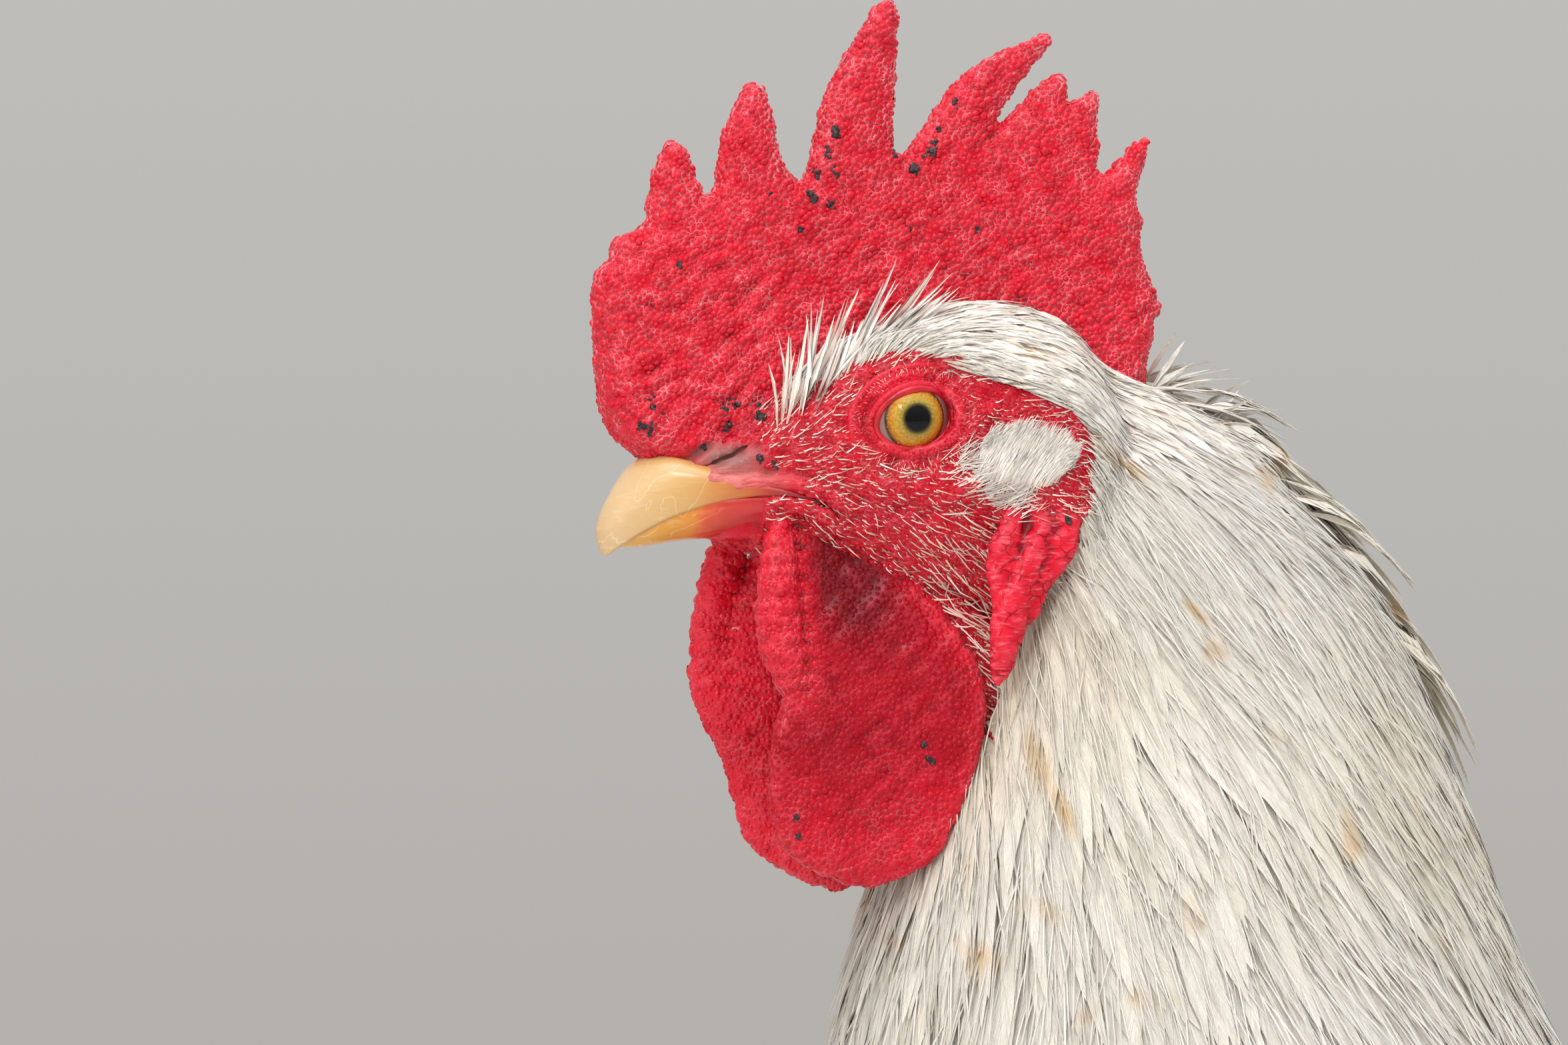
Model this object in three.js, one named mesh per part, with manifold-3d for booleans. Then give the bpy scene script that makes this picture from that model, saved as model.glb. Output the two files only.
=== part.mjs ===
// A life-size standing rooster with a tall single comb, as one still figure in named solids.
// Millimetres. +Z is up, the bird faces -X, and its left side is -Y. It stands on its toes at Z = 0.
// Every soft form is a loft: slices that run from a low point to a high point in the side view,
// each with a half width, joined by smooth curves and rounded off at both ends.
import * as THREE from "three";
import { mergeVertices } from "three/addons/utils/BufferGeometryUtils.js";
import Module from "manifold-3d";

const wasm = await Module();
wasm.setup();

// ---- Driving dimensions ----
const EYE = { x: -150, z: 555 }; // where the eyes sit in the side view: the head is built round it
const GAP = 0.35; // clearance between solids that touch
const HOCK = { x: 38, z: 131, y: 50 }; // heel joint of each leg
const FOOT = { x: 13, y: 54 }; // where the toes meet, on the floor
const TOE_SINK = 0.5; // how far a toe's round underside is cut flat by the floor
const LEFT = -1;
const RIGHT = 1;
const SIDES = [
  ["left", LEFT],
  ["right", RIGHT],
];

const FINISHES = {
  plumage: { color: "#efe9da", roughness: 0.85, metalness: 0 },
  red_skin: { color: "#b3122a", roughness: 0.55, metalness: 0 },
  beak_horn: { color: "#e9b65c", roughness: 0.4, metalness: 0 },
  eye: { color: "#c98a1c", roughness: 0.1, metalness: 0 },
  leg_scale: { color: "#d9a63f", roughness: 0.5, metalness: 0 },
  claw_horn: { color: "#d8c3a0", roughness: 0.4, metalness: 0 },
};

// ---- Shapes ----
function solidOf(geometry) {
  geometry.deleteAttribute("normal");
  geometry.deleteAttribute("uv");
  const merged = mergeVertices(geometry, 1e-4);
  const mesh = new wasm.Mesh({
    numProp: 3,
    vertProperties: merged.attributes.position.array,
    triVerts: new Uint32Array(merged.index.array),
  });
  const solid = new wasm.Manifold(mesh);
  return solid.volume() < 0 ? insideOut(merged) : solid;
}

function insideOut(merged) {
  const corners = new Uint32Array(merged.index.array);
  for (let i = 0; i < corners.length; i += 3) [corners[i], corners[i + 1]] = [corners[i + 1], corners[i]];
  const vertProperties = merged.attributes.position.array;
  return new wasm.Manifold(new wasm.Mesh({ numProp: 3, vertProperties, triVerts: corners }));
}

function geometryOf(solid) {
  const { numProp, numVert, vertProperties, triVerts } = solid.getMesh();
  const positions = new Float32Array(numVert * 3);
  for (let i = 0; i < numVert; i++) positions.set(vertProperties.subarray(i * numProp, i * numProp + 3), i * 3);
  const geometry = new THREE.BufferGeometry();
  geometry.setAttribute("position", new THREE.BufferAttribute(positions, 3));
  geometry.setIndex(new THREE.BufferAttribute(triVerts, 1));
  return geometry.toNonIndexed();
}

// The share of full size that a slice has at t, so that both ends close in a round cap.
function capShare(t, [first, last]) {
  const inwards = Math.min(t / first, (1 - t) / last, 1);
  return Math.sqrt(1 - (1 - inwards) ** 2);
}

// slices: rows of [low x, low z, high x, high z, half width, middle y]. caps: the share of the length that
// each round end takes. bow: how far a slice's low and high edges bend out of its own plane.
function loft({ slices, around = 16, along = 12, caps = [0.1, 0.1], grow = 0, bow = 0, square = 1 }) {
  const row = (pick) => new THREE.CatmullRomCurve3(slices.map((s) => new THREE.Vector3(...pick(s))), false, "catmullrom");
  const lows = row((s) => [s[0], s[5] ?? 0, s[1]]);
  const highs = row((s) => [s[2], s[5] ?? 0, s[3]]);
  const halves = row((s) => [s[4], 0, 0]);
  const profile = [];
  for (let i = 0; i <= along; i++) {
    const even = i / along;
    const t = (even + (1 - Math.cos(Math.PI * even)) / 2) / 2;
    profile.push(new THREE.Vector2(i % along === 0 ? 0 : capShare(t, caps), t));
  }
  const geometry = new THREE.LatheGeometry(profile, around);
  const position = geometry.attributes.position;
  for (let i = 0; i < position.count; i++) {
    const t = THREE.MathUtils.clamp(position.getY(i), 0, 1);
    const [across, up] = [position.getX(i), position.getZ(i)];
    const radius = Math.hypot(across, up);
    const [low, high] = [lows.getPoint(t), highs.getPoint(t)];
    const middle = low.clone().lerp(high, 0.5);
    const climb = high.clone().sub(middle);
    climb.setLength(climb.length() + grow);
    const boxy = (v) => (radius > 0 ? Math.sign(v) * Math.abs(v / radius) ** square * radius : 0);
    const upShare = boxy(up);
    const place = middle.addScaledVector(climb, upShare);
    place.y += boxy(across) * (halves.getPoint(t).x + grow) + bow * upShare ** 2;
    position.setXYZ(i, place.x, place.y, place.z);
  }
  return solidOf(geometry);
}

// Slices given round the eye's place, moved to where the head is.
const atHead = (slices) => slices.map(([a, b, c, d, ...rest]) => [a + EYE.x, b + EYE.z, c + EYE.x, d + EYE.z, ...rest]);

const box = (low, high) => {
  const size = high.map((v, i) => v - low[i]);
  const geometry = new THREE.BoxGeometry(...size);
  geometry.translate(...low.map((v, i) => v + size[i] / 2));
  return solidOf(geometry);
};

// What is left of a solid once its neighbours are cut out, without loose slivers.
function cutBy(solid, neighbours) {
  const rest = neighbours.reduce((left, other) => left.subtract(other), solid);
  return rest.decompose().sort((a, b) => b.volume() - a.volume())[0];
}

// Parts a solid by a thin cut at a plane through (x, z), whose normal is tilted in the side view.
function partAt(solid, { x, z }, normalDegrees) {
  const far = 1000;
  const slab = (low, high) => {
    const geometry = new THREE.BoxGeometry(high - low, far, far);
    geometry.translate((low + high) / 2, 0, 0);
    geometry.rotateY(-THREE.MathUtils.degToRad(normalDegrees));
    geometry.translate(x, 0, z);
    return solidOf(geometry);
  };
  return [cutBy(solid, [slab(-GAP / 2, far)]), cutBy(solid, [slab(-far, GAP / 2)])];
}

// ---- Head ----
const HEAD = {
  slices: atHead([
    [-32, -12, -32, -7, 2.5],
    [-28, -17, -29, -3, 6],
    [-20, -20, -21, 2, 9],
    [-10, -22, -11, 8, 12],
    [2, -27, -1, 13, 14.6],
    [14, -31, 11, 16.5, 16.2],
    [26, -33, 24, 14, 16.6],
    [37, -28, 38, 4, 13],
  ]),
  around: 16,
  along: 12,
  caps: [0.08, 0.16],
  square: 0.86,
};
const UPPER_BEAK = {
  slices: atHead([
    [-12, -12, -14, -3.4, 6.6],
    [-22, -12.2, -23, -2.6, 6.4],
    [-30, -13.4, -30.5, -3.2, 5.4],
    [-36, -15.6, -37.4, -6.8, 4],
    [-38.8, -17.4, -41.4, -12.4, 2.6],
    [-40.6, -19, -42.9, -16.8, 1.4],
    [-41.8, -20.2, -42.4, -19.6, 0.5],
  ]),
  around: 12,
  along: 9,
  caps: [0.08, 0.04],
};
const LOWER_BEAK = {
  slices: atHead([
    [-14, -18.4, -14, -12, 5.4],
    [-24, -18.2, -24, -12.6, 5],
    [-31, -18.6, -31, -14, 3.9],
    [-36, -19.2, -36, -16, 2.6],
    [-39.4, -19.4, -39.2, -18.2, 1],
  ]),
  around: 10,
  along: 6,
  caps: [0.08, 0.1],
};
const EYEBALL = { radius: 6.9, y: 8.2 };

// The outline of the comb, clockwise from the beak: a deep blade over the skull with seven points.
// It is thickest along its base.
const COMB_OUTLINE = [
  [-33, -7], [-37.9, -5], [-41, -1.8], [-42.4, 2.2], [-43, 7.9], [-43.4, 18.1], [-42.7, 20.7], [-40.9, 22.3],
  [-40.1, 24.8], [-35.9, 27.6], [-35.3, 31.4], [-34, 35.9], [-32.1, 39.4], [-29.9, 38.1], [-28.3, 34.3],
  [-26.9, 32.1], [-25.9, 31.9], [-25, 36.4], [-23.4, 42.8], [-21.2, 47.2], [-19.5, 47.9], [-17.9, 46.1],
  [-16.9, 41.9], [-15.9, 37.1], [-14.2, 34.3], [-12.6, 33.8], [-11.6, 36.4], [-10.6, 41.1], [-8.7, 47.2],
  [-5.7, 52.7], [-1.2, 59.2], [0.6, 59.8], [2, 58.4], [1.6, 53.5], [0.8, 40.7], [1.6, 37.7], [2.7, 37.7],
  [6.7, 43.2], [10.6, 48.4], [15.5, 51.8], [23.7, 55.4], [24.5, 54.2], [19.9, 46.8], [17.1, 42.8], [18.5, 44.9],
  [22.4, 48.7], [26.3, 49.7], [27.2, 48], [27.4, 45.1], [31.5, 47.6], [31.7, 41.1], [31.7, 36.4], [32.5, 35.1],
  [35, 37.1], [39, 40.8], [39.2, 38.7], [37.5, 32.4], [38.4, 28.6], [38.1, 24], [41, 16.4], [40, 14.3],
  [39.5, 9.8], [36, 4], [14, 6], [-12, 4], [-25, -5],
];
const COMB_HALF = { base: 5.4, edge: 2.1, baseZ: 4, edgeZ: 44 }; // half thickness at two heights over the eye

function comb() {
  const shape = new THREE.Shape(COMB_OUTLINE.map(([x, z]) => new THREE.Vector2(x, z)));
  const bevelSize = 0.9;
  const geometry = new THREE.ExtrudeGeometry(shape, {
    depth: 0.8,
    bevelThickness: 0.6,
    bevelSize,
    bevelOffset: -bevelSize,
    bevelSegments: 1,
  });
  geometry.translate(0, 0, -0.4); // the blade is now 2 thick, half on each side of the middle
  const position = geometry.attributes.position;
  const { base, edge, baseZ, edgeZ } = COMB_HALF;
  for (let i = 0; i < position.count; i++) {
    const [x, z, side] = [position.getX(i), position.getY(i), position.getZ(i)];
    const half = THREE.MathUtils.mapLinear(THREE.MathUtils.clamp(z, baseZ, edgeZ), baseZ, edgeZ, base, edge);
    position.setXYZ(i, x + EYE.x, side * half, z + EYE.z);
  }
  return solidOf(geometry);
}

// A wattle hangs from the jaw as a thick flap. The right one swings a little further forwards.
const WATTLES = {
  [LEFT]: [
    [-17, -14, -8, -14, 3.2, 6.5],
    [-21, -21, -3, -21, 3, 8.2],
    [-22.4, -30, 6.2, -29, 2.7, 9.8],
    [-19.4, -39, 11.4, -39, 2.5, 11.2],
    [-21.4, -50, 10, -50, 2.5, 12],
    [-20.2, -60, 6, -60, 2.3, 12],
    [-13.6, -68, 1.6, -67.6, 1.9, 11.6],
  ],
  [RIGHT]: [
    [-17, -14, -8, -14, 3.2, 6.5],
    [-22, -21, -4, -21, 3, 8.2],
    [-26.2, -30, 5, -30, 2.7, 9.8],
    [-26.6, -39, 10, -39, 2.5, 11.2],
    [-21.2, -50, 9, -50, 2.5, 12],
    [-17.8, -61, 5, -61, 2.3, 12],
    [-9.6, -69.6, 1, -69.4, 1.9, 11.6],
  ],
};
function wattle(side, grow = 0) {
  const slices = WATTLES[side].map(([a, b, c, d, thick, y]) => [a, b, c, d, thick, side * y]);
  return loft({ slices: atHead(slices), around: 10, along: 9, caps: [0.06, 0.12], grow, bow: side * 1.8 });
}

function earlobe(side) {
  const rows = [
    [16, -10, 25, -9, 2, 15.4],
    [12.6, -16.6, 24.6, -16, 2.6, 16.4],
    [11, -23, 22, -23, 2.5, 17.6],
    [10.6, -30, 17.8, -30, 2.2, 18.4],
    [9.4, -37.6, 13.6, -37, 1.5, 18.6],
  ];
  const slices = rows.map(([a, b, c, d, thick, y]) => [a, b, c, d, thick, side * y]);
  return loft({ slices: atHead(slices), around: 8, along: 6, caps: [0.12, 0.12], bow: side * -0.8 });
}

function eyeball(side, grow = 0) {
  const geometry = new THREE.SphereGeometry(EYEBALL.radius + grow, 12, 8);
  geometry.translate(EYE.x, side * EYEBALL.y, EYE.z);
  return solidOf(geometry);
}

// ---- Neck, trunk and rump, out to the tips of the feathers ----
const NECK = {
  slices: [
    ...atHead([
      [12, -6, 22, 12, 11],
      [12, -25, 43, 5.6, 18],
      [7, -38, 62.5, -6.4, 23],
      [1, -53, 78.6, -27, 29],
      [-3.4, -70, 88, -52, 36],
      [-9, -92, 99, -86, 44],
      [-14, -125, 118, -122, 55],
      [-17, -162, 143, -150, 66],
      [-8, -204, 160, -176, 66],
    ]),
  ],
  around: 16,
  along: 12,
  caps: [0.1, 0.14],
};
const TRUNK = {
  slices: [
    [-168, 312, -164, 345, 28],
    [-150, 252, -141, 392, 60],
    [-110, 218, -104, 408, 78],
    [-55, 203, -55, 404, 87],
    [0, 205, 0, 397, 90],
    [55, 222, 48, 398, 85],
    [108, 248, 90, 406, 72],
    [148, 286, 126, 418, 53],
    [172, 330, 150, 424, 32],
  ],
  around: 16,
  along: 12,
  caps: [0.1, 0.1],
};
const NECK_CUT = { x: -112, z: 482 };
const NECK_CUT_NORMAL = 80; // degrees above level, pointing up the neck
const RUMP_CUT = { x: 78, z: 330 };
const RUMP_CUT_NORMAL = 10;

// ---- Wings, folded against the sides ----
const WING_CUT = { x: -12, z: 320 };
const WING_CUT_NORMAL = -18;
function wing(side, grow = 0) {
  const rows = [
    [-116, 330, -110, 352, 5, 62],
    [-104, 300, -94, 374, 12, 71],
    [-60, 272, -50, 384, 15, 79],
    [0, 262, 5, 382, 15, 83],
    [50, 266, 55, 370, 13, 80],
    [95, 280, 100, 350, 10, 70],
    [130, 292, 133, 326, 6.5, 57],
    [156, 300, 157, 312, 3, 47],
  ];
  const slices = rows.map((row) => [...row.slice(0, 5), side * row[5]]);
  return loft({ slices, around: 10, along: 9, caps: [0.08, 0.05], grow });
}

// ---- Tail ----
const TAIL_FAN = {
  slices: [
    [128, 345, 118, 405, 20],
    [170, 372, 136, 438, 17],
    [217, 403, 160, 490, 13],
    [260, 436, 192, 540, 9],
    [289, 468, 228, 566, 5.5],
    [300, 494, 258, 570, 3],
  ],
  around: 10,
  along: 8,
  caps: [0.08, 0.1],
};
// Sickle feathers: each leaves the rump at a steep angle and arcs over backwards.
// start and end are degrees above level, width is the widest half width, out is the distance from the middle.
const SICKLES = [
  { root: [130, 410], start: 74, end: -62, length: 330, width: 13, out: 5 },
  { root: [134, 404], start: 66, end: -66, length: 280, width: 12, out: 17 },
  { root: [138, 396], start: 56, end: -70, length: 235, width: 11, out: 24 },
  { root: [144, 386], start: 44, end: -72, length: 195, width: 10, out: 30 },
];

function sickle({ root, start, end, length, width, out }, side) {
  const count = 11;
  const step = length / (count - 1);
  const slices = [];
  let [x, z] = root;
  for (let i = 0; i < count; i++) {
    const t = i / (count - 1);
    const angle = THREE.MathUtils.degToRad(THREE.MathUtils.lerp(start, end, t ** 1.15));
    const half = width * (0.35 + 0.65 * Math.sin(Math.PI * Math.min(t * 1.25 + 0.12, 1) ** 0.8));
    const [acrossX, acrossZ] = [-Math.sin(angle) * half, Math.cos(angle) * half];
    const spread = out * (1 + 0.5 * t) * side;
    slices.push([x - acrossX, z - acrossZ, x + acrossX, z + acrossZ, THREE.MathUtils.lerp(2.4, 1.2, t), spread]);
    x += Math.cos(angle) * step;
    z += Math.sin(angle) * step;
  }
  return loft({ slices, around: 6, along: 11, caps: [0.03, 0.06] });
}

// ---- Legs ----
function thigh(side, grow = 0) {
  const rows = [
    [-54, 270, 20, 285, 24, 42],
    [-60, 236, 46, 244, 34, 44],
    [-44, 194, 61, 202, 30, 46],
    [-10, 164, 62, 167, 21, 48],
    [18, 144, 55, 142, 12.5, HOCK.y],
    [28, 134, 49, 132, 8.5, HOCK.y],
  ];
  const slices = rows.map((row) => [...row.slice(0, 5), side * row[5]]);
  return loft({ slices, around: 12, along: 7, caps: [0.12, 0.05], grow });
}

function shank(side, grow = 0) {
  const [x, z] = [HOCK.x, HOCK.z];
  const rows = [
    [x - 8, z + 3, x + 9, z + 1, 7, HOCK.y],
    [x - 9, z - 9, x + 9, z - 8, 7.6, HOCK.y],
    [x - 11, z - 26, x + 2.4, z - 24, 6.2, HOCK.y + 0.6],
    [19.5, 66, 32, 67, 5.9, 52],
    [11.5, 30, 25, 30, 6.6, 53.4],
    [5, 15, 24.5, 13, 8.6, FOOT.y],
    [5, 2.4, 23, 2.4, 8, FOOT.y],
  ];
  const slices = rows.map((row) => [...row.slice(0, 5), side * row[5]]);
  return loft({ slices, around: 8, along: 8, caps: [0.05, 0.04], grow });
}

// Toes run out from the middle of the foot. turn is degrees from straight ahead, away from the other leg.
const TOES = [
  { name: "middle", turn: 2, length: 74, girth: 1, joints: 3 },
  { name: "inner", turn: -33, length: 54, girth: 0.9, joints: 2 },
  { name: "outer", turn: 36, length: 58, girth: 0.88, joints: 4 },
  { name: "hind", turn: -158, length: 33, girth: 0.84, joints: 1 },
];
const CLAW = { length: 14, half: 2.5 };

function placeToe(geometrySolid, { turn }, side) {
  return geometrySolid.rotate([0, 0, side * -turn]).translate([FOOT.x, side * FOOT.y, 0]);
}

// Along its length a toe swells at each joint. Its underside is cut flat where it meets the floor.
function toe(which, side, grow = 0) {
  const { length, girth, joints } = which;
  const count = 2 * joints + 3;
  const slices = [];
  for (let i = 0; i < count; i++) {
    const t = i / (count - 1);
    const swell = 1 + 0.09 * Math.cos(2 * Math.PI * t * joints);
    const half = girth * THREE.MathUtils.lerp(6, 4, t) * swell;
    const high = girth * THREE.MathUtils.lerp(12, 7.4, t ** 0.7) * swell;
    slices.push([-length * t, -TOE_SINK, -length * t, high, half]);
  }
  const floor = box([-200, -200, -50], [200, 200, 0]);
  return placeToe(loft({ slices, around: 8, along: count - 1, caps: [0.07, 0.07], grow }), which, side).subtract(floor);
}

function claw(which, side) {
  const { length, girth } = which;
  const reach = CLAW.length * (which.name === "hind" ? 0.85 : 1);
  const slices = [0, 0.3, 0.6, 0.85, 1].map((t) => {
    const half = CLAW.half * girth * (1 - 0.8 * t);
    const middle = 4.6 + 1.2 * Math.sin(Math.PI * Math.min(t * 1.2, 1)) - 3.6 * t ** 2;
    const x = -length + 3.5 - (reach + 3.5) * t;
    return [x, middle - half, x, middle + half, half * 0.8];
  });
  return placeToe(loft({ slices, around: 6, along: 4, caps: [0.1, 0.08] }), which, side);
}

const SPUR = { x: 26, z: 50, length: 21, half: 4.2 };
function spur(side) {
  const slices = [0, 0.35, 0.7, 1].map((t) => {
    const half = SPUR.half * (1 - 0.82 * t);
    const x = SPUR.x + SPUR.length * t;
    const z = SPUR.z + 5 * t * t;
    return [x, z - half, x, z + half, half, side * (50 - 9 * t)];
  });
  return loft({ slices, around: 7, along: 4, caps: [0.06, 0.08] });
}

// ---- The bird ----
const nodes = new Map();
const add = (name, finish, solid) => nodes.set(name, { finish, solid });
const grown = (form) => loft({ ...form, grow: GAP });

const eyes = SIDES.map(([, side]) => eyeball(side, GAP));
const upperBeak = loft(UPPER_BEAK);
const lowerBeak = cutBy(loft(LOWER_BEAK), [grown(UPPER_BEAK)]);
const head = cutBy(loft(HEAD), [...eyes, grown(UPPER_BEAK), grown(LOWER_BEAK)]);
const headGrown = grown(HEAD);
add("head", "red_skin", head);
add("beak_upper", "beak_horn", upperBeak);
add("beak_lower", "beak_horn", lowerBeak);
add("comb", "red_skin", cutBy(comb(), [headGrown, grown(UPPER_BEAK), grown(NECK)]));

const neck = cutBy(loft(NECK), [headGrown]);
const [neckLower, neckUpper] = partAt(neck, NECK_CUT, NECK_CUT_NORMAL);
add("neck_upper", "plumage", neckUpper);
add("neck_lower", "plumage", neckLower);

for (const [name, side] of SIDES) {
  add(`eye_${name}`, "eye", eyeball(side));
  const hanging = wattle(side);
  add(`wattle_${name}`, "red_skin", cutBy(hanging, [headGrown, grown(NECK), grown(LOWER_BEAK)]));
  const lobe = earlobe(side);
  add(`earlobe_${name}`, "red_skin", cutBy(lobe, [headGrown, grown(NECK), wattle(side, GAP)]));
}

const sides = SIDES.map(([, side]) => side);
const trunk = cutBy(loft(TRUNK), [
  grown(NECK),
  grown(TAIL_FAN),
  ...sides.map((side) => wing(side, GAP)),
  ...sides.map((side) => thigh(side, GAP)),
]);
const [trunkFront, rump] = partAt(trunk, RUMP_CUT, RUMP_CUT_NORMAL);
add("trunk", "plumage", trunkFront);
add("rump", "plumage", rump);
add("tail_fan", "plumage", loft(TAIL_FAN));

for (const [name, side] of SIDES) {
  const [shoulder, flights] = partAt(cutBy(wing(side), [grown(NECK)]), WING_CUT, WING_CUT_NORMAL);
  add(`wing_${name}_shoulder`, "plumage", shoulder);
  add(`wing_${name}_flights`, "plumage", flights);
  SICKLES.forEach((shape, i) => {
    const blade = cutBy(sickle(shape, side), [grown(TAIL_FAN), grown(TRUNK)]);
    add(`sickle_${name}_${i + 1}`, "plumage", blade);
  });
  add(`thigh_${name}`, "plumage", cutBy(thigh(side), [wing(side, GAP), shank(side, GAP)]));
  add(`shank_${name}`, "leg_scale", shank(side));
  add(`spur_${name}`, "claw_horn", cutBy(spur(side), [shank(side, GAP)]));
  const placed = [shank(side, GAP)];
  for (const which of TOES) {
    add(`toe_${name}_${which.name}`, "leg_scale", cutBy(toe(which, side), placed));
    placed.push(toe(which, side, GAP));
    add(`claw_${name}_${which.name}`, "claw_horn", cutBy(claw(which, side), [toe(which, side, GAP)]));
  }
}

const rooster = new THREE.Group();
for (const [name, { finish, solid }] of nodes) {
  const mesh = new THREE.Mesh(geometryOf(solid), new THREE.MeshStandardMaterial(FINISHES[finish]));
  mesh.name = name;
  rooster.add(mesh);
}
const whole = new THREE.Box3().setFromObject(rooster);
const CENTRE = whole.getCenter(new THREE.Vector3());
rooster.position.set(-CENTRE.x, -CENTRE.y, 0); // the origin is under the middle of the bird

export default rooster;
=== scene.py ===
# A life-size standing white rooster with a tall single comb, as one still figure.
# The bare skin is one closed skin, from comb to toes. It lies inside the plumage by the coat's depth.
# Feathers, bristles and papillae are solid mesh, joined in pieces by tract.
import math
from functools import partial

import bpy
import numpy as np
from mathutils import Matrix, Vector
from mathutils import noise as blender_noise
from mathutils.bvhtree import BVHTree
from mathutils.kdtree import KDTree

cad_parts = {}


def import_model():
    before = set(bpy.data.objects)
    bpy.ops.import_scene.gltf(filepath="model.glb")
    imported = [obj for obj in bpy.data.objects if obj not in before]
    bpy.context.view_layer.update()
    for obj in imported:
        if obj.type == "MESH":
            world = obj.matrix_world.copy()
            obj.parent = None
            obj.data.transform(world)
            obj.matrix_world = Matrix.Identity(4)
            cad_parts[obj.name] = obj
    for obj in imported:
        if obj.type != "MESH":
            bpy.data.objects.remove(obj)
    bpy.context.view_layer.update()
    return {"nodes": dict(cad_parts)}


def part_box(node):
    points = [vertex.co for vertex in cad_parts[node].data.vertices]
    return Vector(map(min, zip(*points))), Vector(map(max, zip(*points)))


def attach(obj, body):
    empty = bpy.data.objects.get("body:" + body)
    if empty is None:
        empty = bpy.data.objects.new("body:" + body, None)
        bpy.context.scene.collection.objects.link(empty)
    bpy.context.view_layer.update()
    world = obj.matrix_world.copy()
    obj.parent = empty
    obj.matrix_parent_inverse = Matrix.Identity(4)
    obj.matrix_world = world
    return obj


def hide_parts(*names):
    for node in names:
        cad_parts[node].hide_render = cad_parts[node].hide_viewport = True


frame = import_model()

# ---- Places: millimetres in the bird's own frame, over the floor or round the eye ----
MM = 0.001
EYE_X, EYE_Z = -150.0, 555.0  # where the eyes sit in the side view
SIDES = (("left", -1), ("right", 1))
eye_low, eye_high = (Vector(corner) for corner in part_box("eye_left"))
ORIGIN = np.array(
    [(eye_low.x + eye_high.x) / 2 - EYE_X * MM, 0.0, (eye_low.z + eye_high.z) / 2 - EYE_Z * MM]
)


def world(points):
    """Bird millimetres as metres in the frame."""
    return np.asarray(points, float) * MM + ORIGIN


def bird(points):
    """Metres in the frame as bird millimetres."""
    return (np.asarray(points, float) - ORIGIN) / MM


def at_head(rows):
    """Slices given round the eye, moved to where the head is."""
    return [(a + EYE_X, b + EYE_Z, c + EYE_X, d + EYE_Z, *rest) for a, b, c, d, *rest in rows]


def from_eye(x, y, z):
    """A point given round the eye, in bird millimetres."""
    return np.array([x + EYE_X, y, z + EYE_Z])


def head_place(points):
    """Bird millimetres as places round the eye."""
    return points - (EYE_X, 0, EYE_Z)


def flat_place(points):
    """How far each point lies behind and over the eye, seen from the side."""
    return head_place(points)[:, [0, 2]].T


def path_at_head(path, side):
    """A path given round the eye for the right side, moved to the head and to the given side."""
    return [from_eye(x, side * y, z) for x, y, z in path]


def on_side(slices, side):
    """Slices of the right side, set on the given side."""
    return [(*row[:5], side * row[5]) for row in slices]


# ---- Mesh tools ----
def deselect_all():
    if bpy.context.object and bpy.context.object.mode != "OBJECT":
        bpy.ops.object.mode_set(mode="OBJECT")
    bpy.ops.object.select_all(action="DESELECT")


def select_only(*pieces):
    deselect_all()
    for piece in pieces:
        piece.select_set(True)
    bpy.context.view_layer.objects.active = pieces[0]


def points_of(piece):
    flat = np.empty(len(piece.data.vertices) * 3)
    piece.data.vertices.foreach_get("co", flat)
    return flat.reshape(-1, 3)


def move_points(piece, points):
    piece.data.vertices.foreach_set("co", np.ascontiguousarray(points, float).ravel())
    piece.data.update()


def apply_modifier(piece, kind, **settings):
    select_only(piece)
    modifier = piece.modifiers.new(kind.title(), kind)
    for name, value in settings.items():
        setattr(modifier, name, value)
    bpy.ops.object.modifier_apply(modifier=modifier.name)


def face_outwards(piece):
    select_only(piece)
    bpy.ops.object.mode_set(mode="EDIT")
    bpy.ops.mesh.select_all(action="SELECT")
    bpy.ops.mesh.normals_make_consistent(inside=False)
    bpy.ops.object.mode_set(mode="OBJECT")


def smooth_row(rows, share):
    """Points at the given shares of a smooth curve through evenly spaced rows."""
    rows = np.asarray(rows, float)
    padded = np.vstack([2 * rows[0] - rows[1], rows, 2 * rows[-1] - rows[-2]])
    place = np.clip(share, 0, 1) * (len(rows) - 1)
    first = np.minimum(place.astype(int), len(rows) - 2)
    u = (place - first)[:, None]
    a, b, c, d = (padded[first + i] for i in range(4))
    return 0.5 * (
        2 * b + (c - a) * u + (2 * a - 5 * b + 4 * c - d) * u**2 + (3 * b - a - 3 * c + d) * u**3
    )


def unit(vectors):
    vectors = np.asarray(vectors, float)
    return vectors / np.maximum(np.linalg.norm(vectors, axis=-1, keepdims=True), 1e-9)


def rings(name, around, along):
    """A ball of rings: the object, each point's share of the way from pole to pole, and its spoke."""
    deselect_all()
    bpy.ops.mesh.primitive_uv_sphere_add(segments=around, ring_count=along, radius=1)
    piece = bpy.context.object
    piece.name = piece.data.name = name
    ball = points_of(piece)
    share = 1 - np.arccos(np.clip(ball[:, 2], -1, 1)) / math.pi
    spoke = ball[:, :2] / np.maximum(np.hypot(ball[:, 0], ball[:, 1]), 1e-9)[:, None]
    spoke[(share < 1e-6) | (share > 1 - 1e-6)] = 0
    return piece, share, spoke


def cap_share(share, caps):
    """The part of full size at each share of the length, so that both ends close in a round cap."""
    inwards = np.minimum(np.minimum(share / caps[0], (1 - share) / caps[1]), 1)
    return np.sqrt(np.maximum(1 - (1 - inwards) ** 2, 0))


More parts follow.
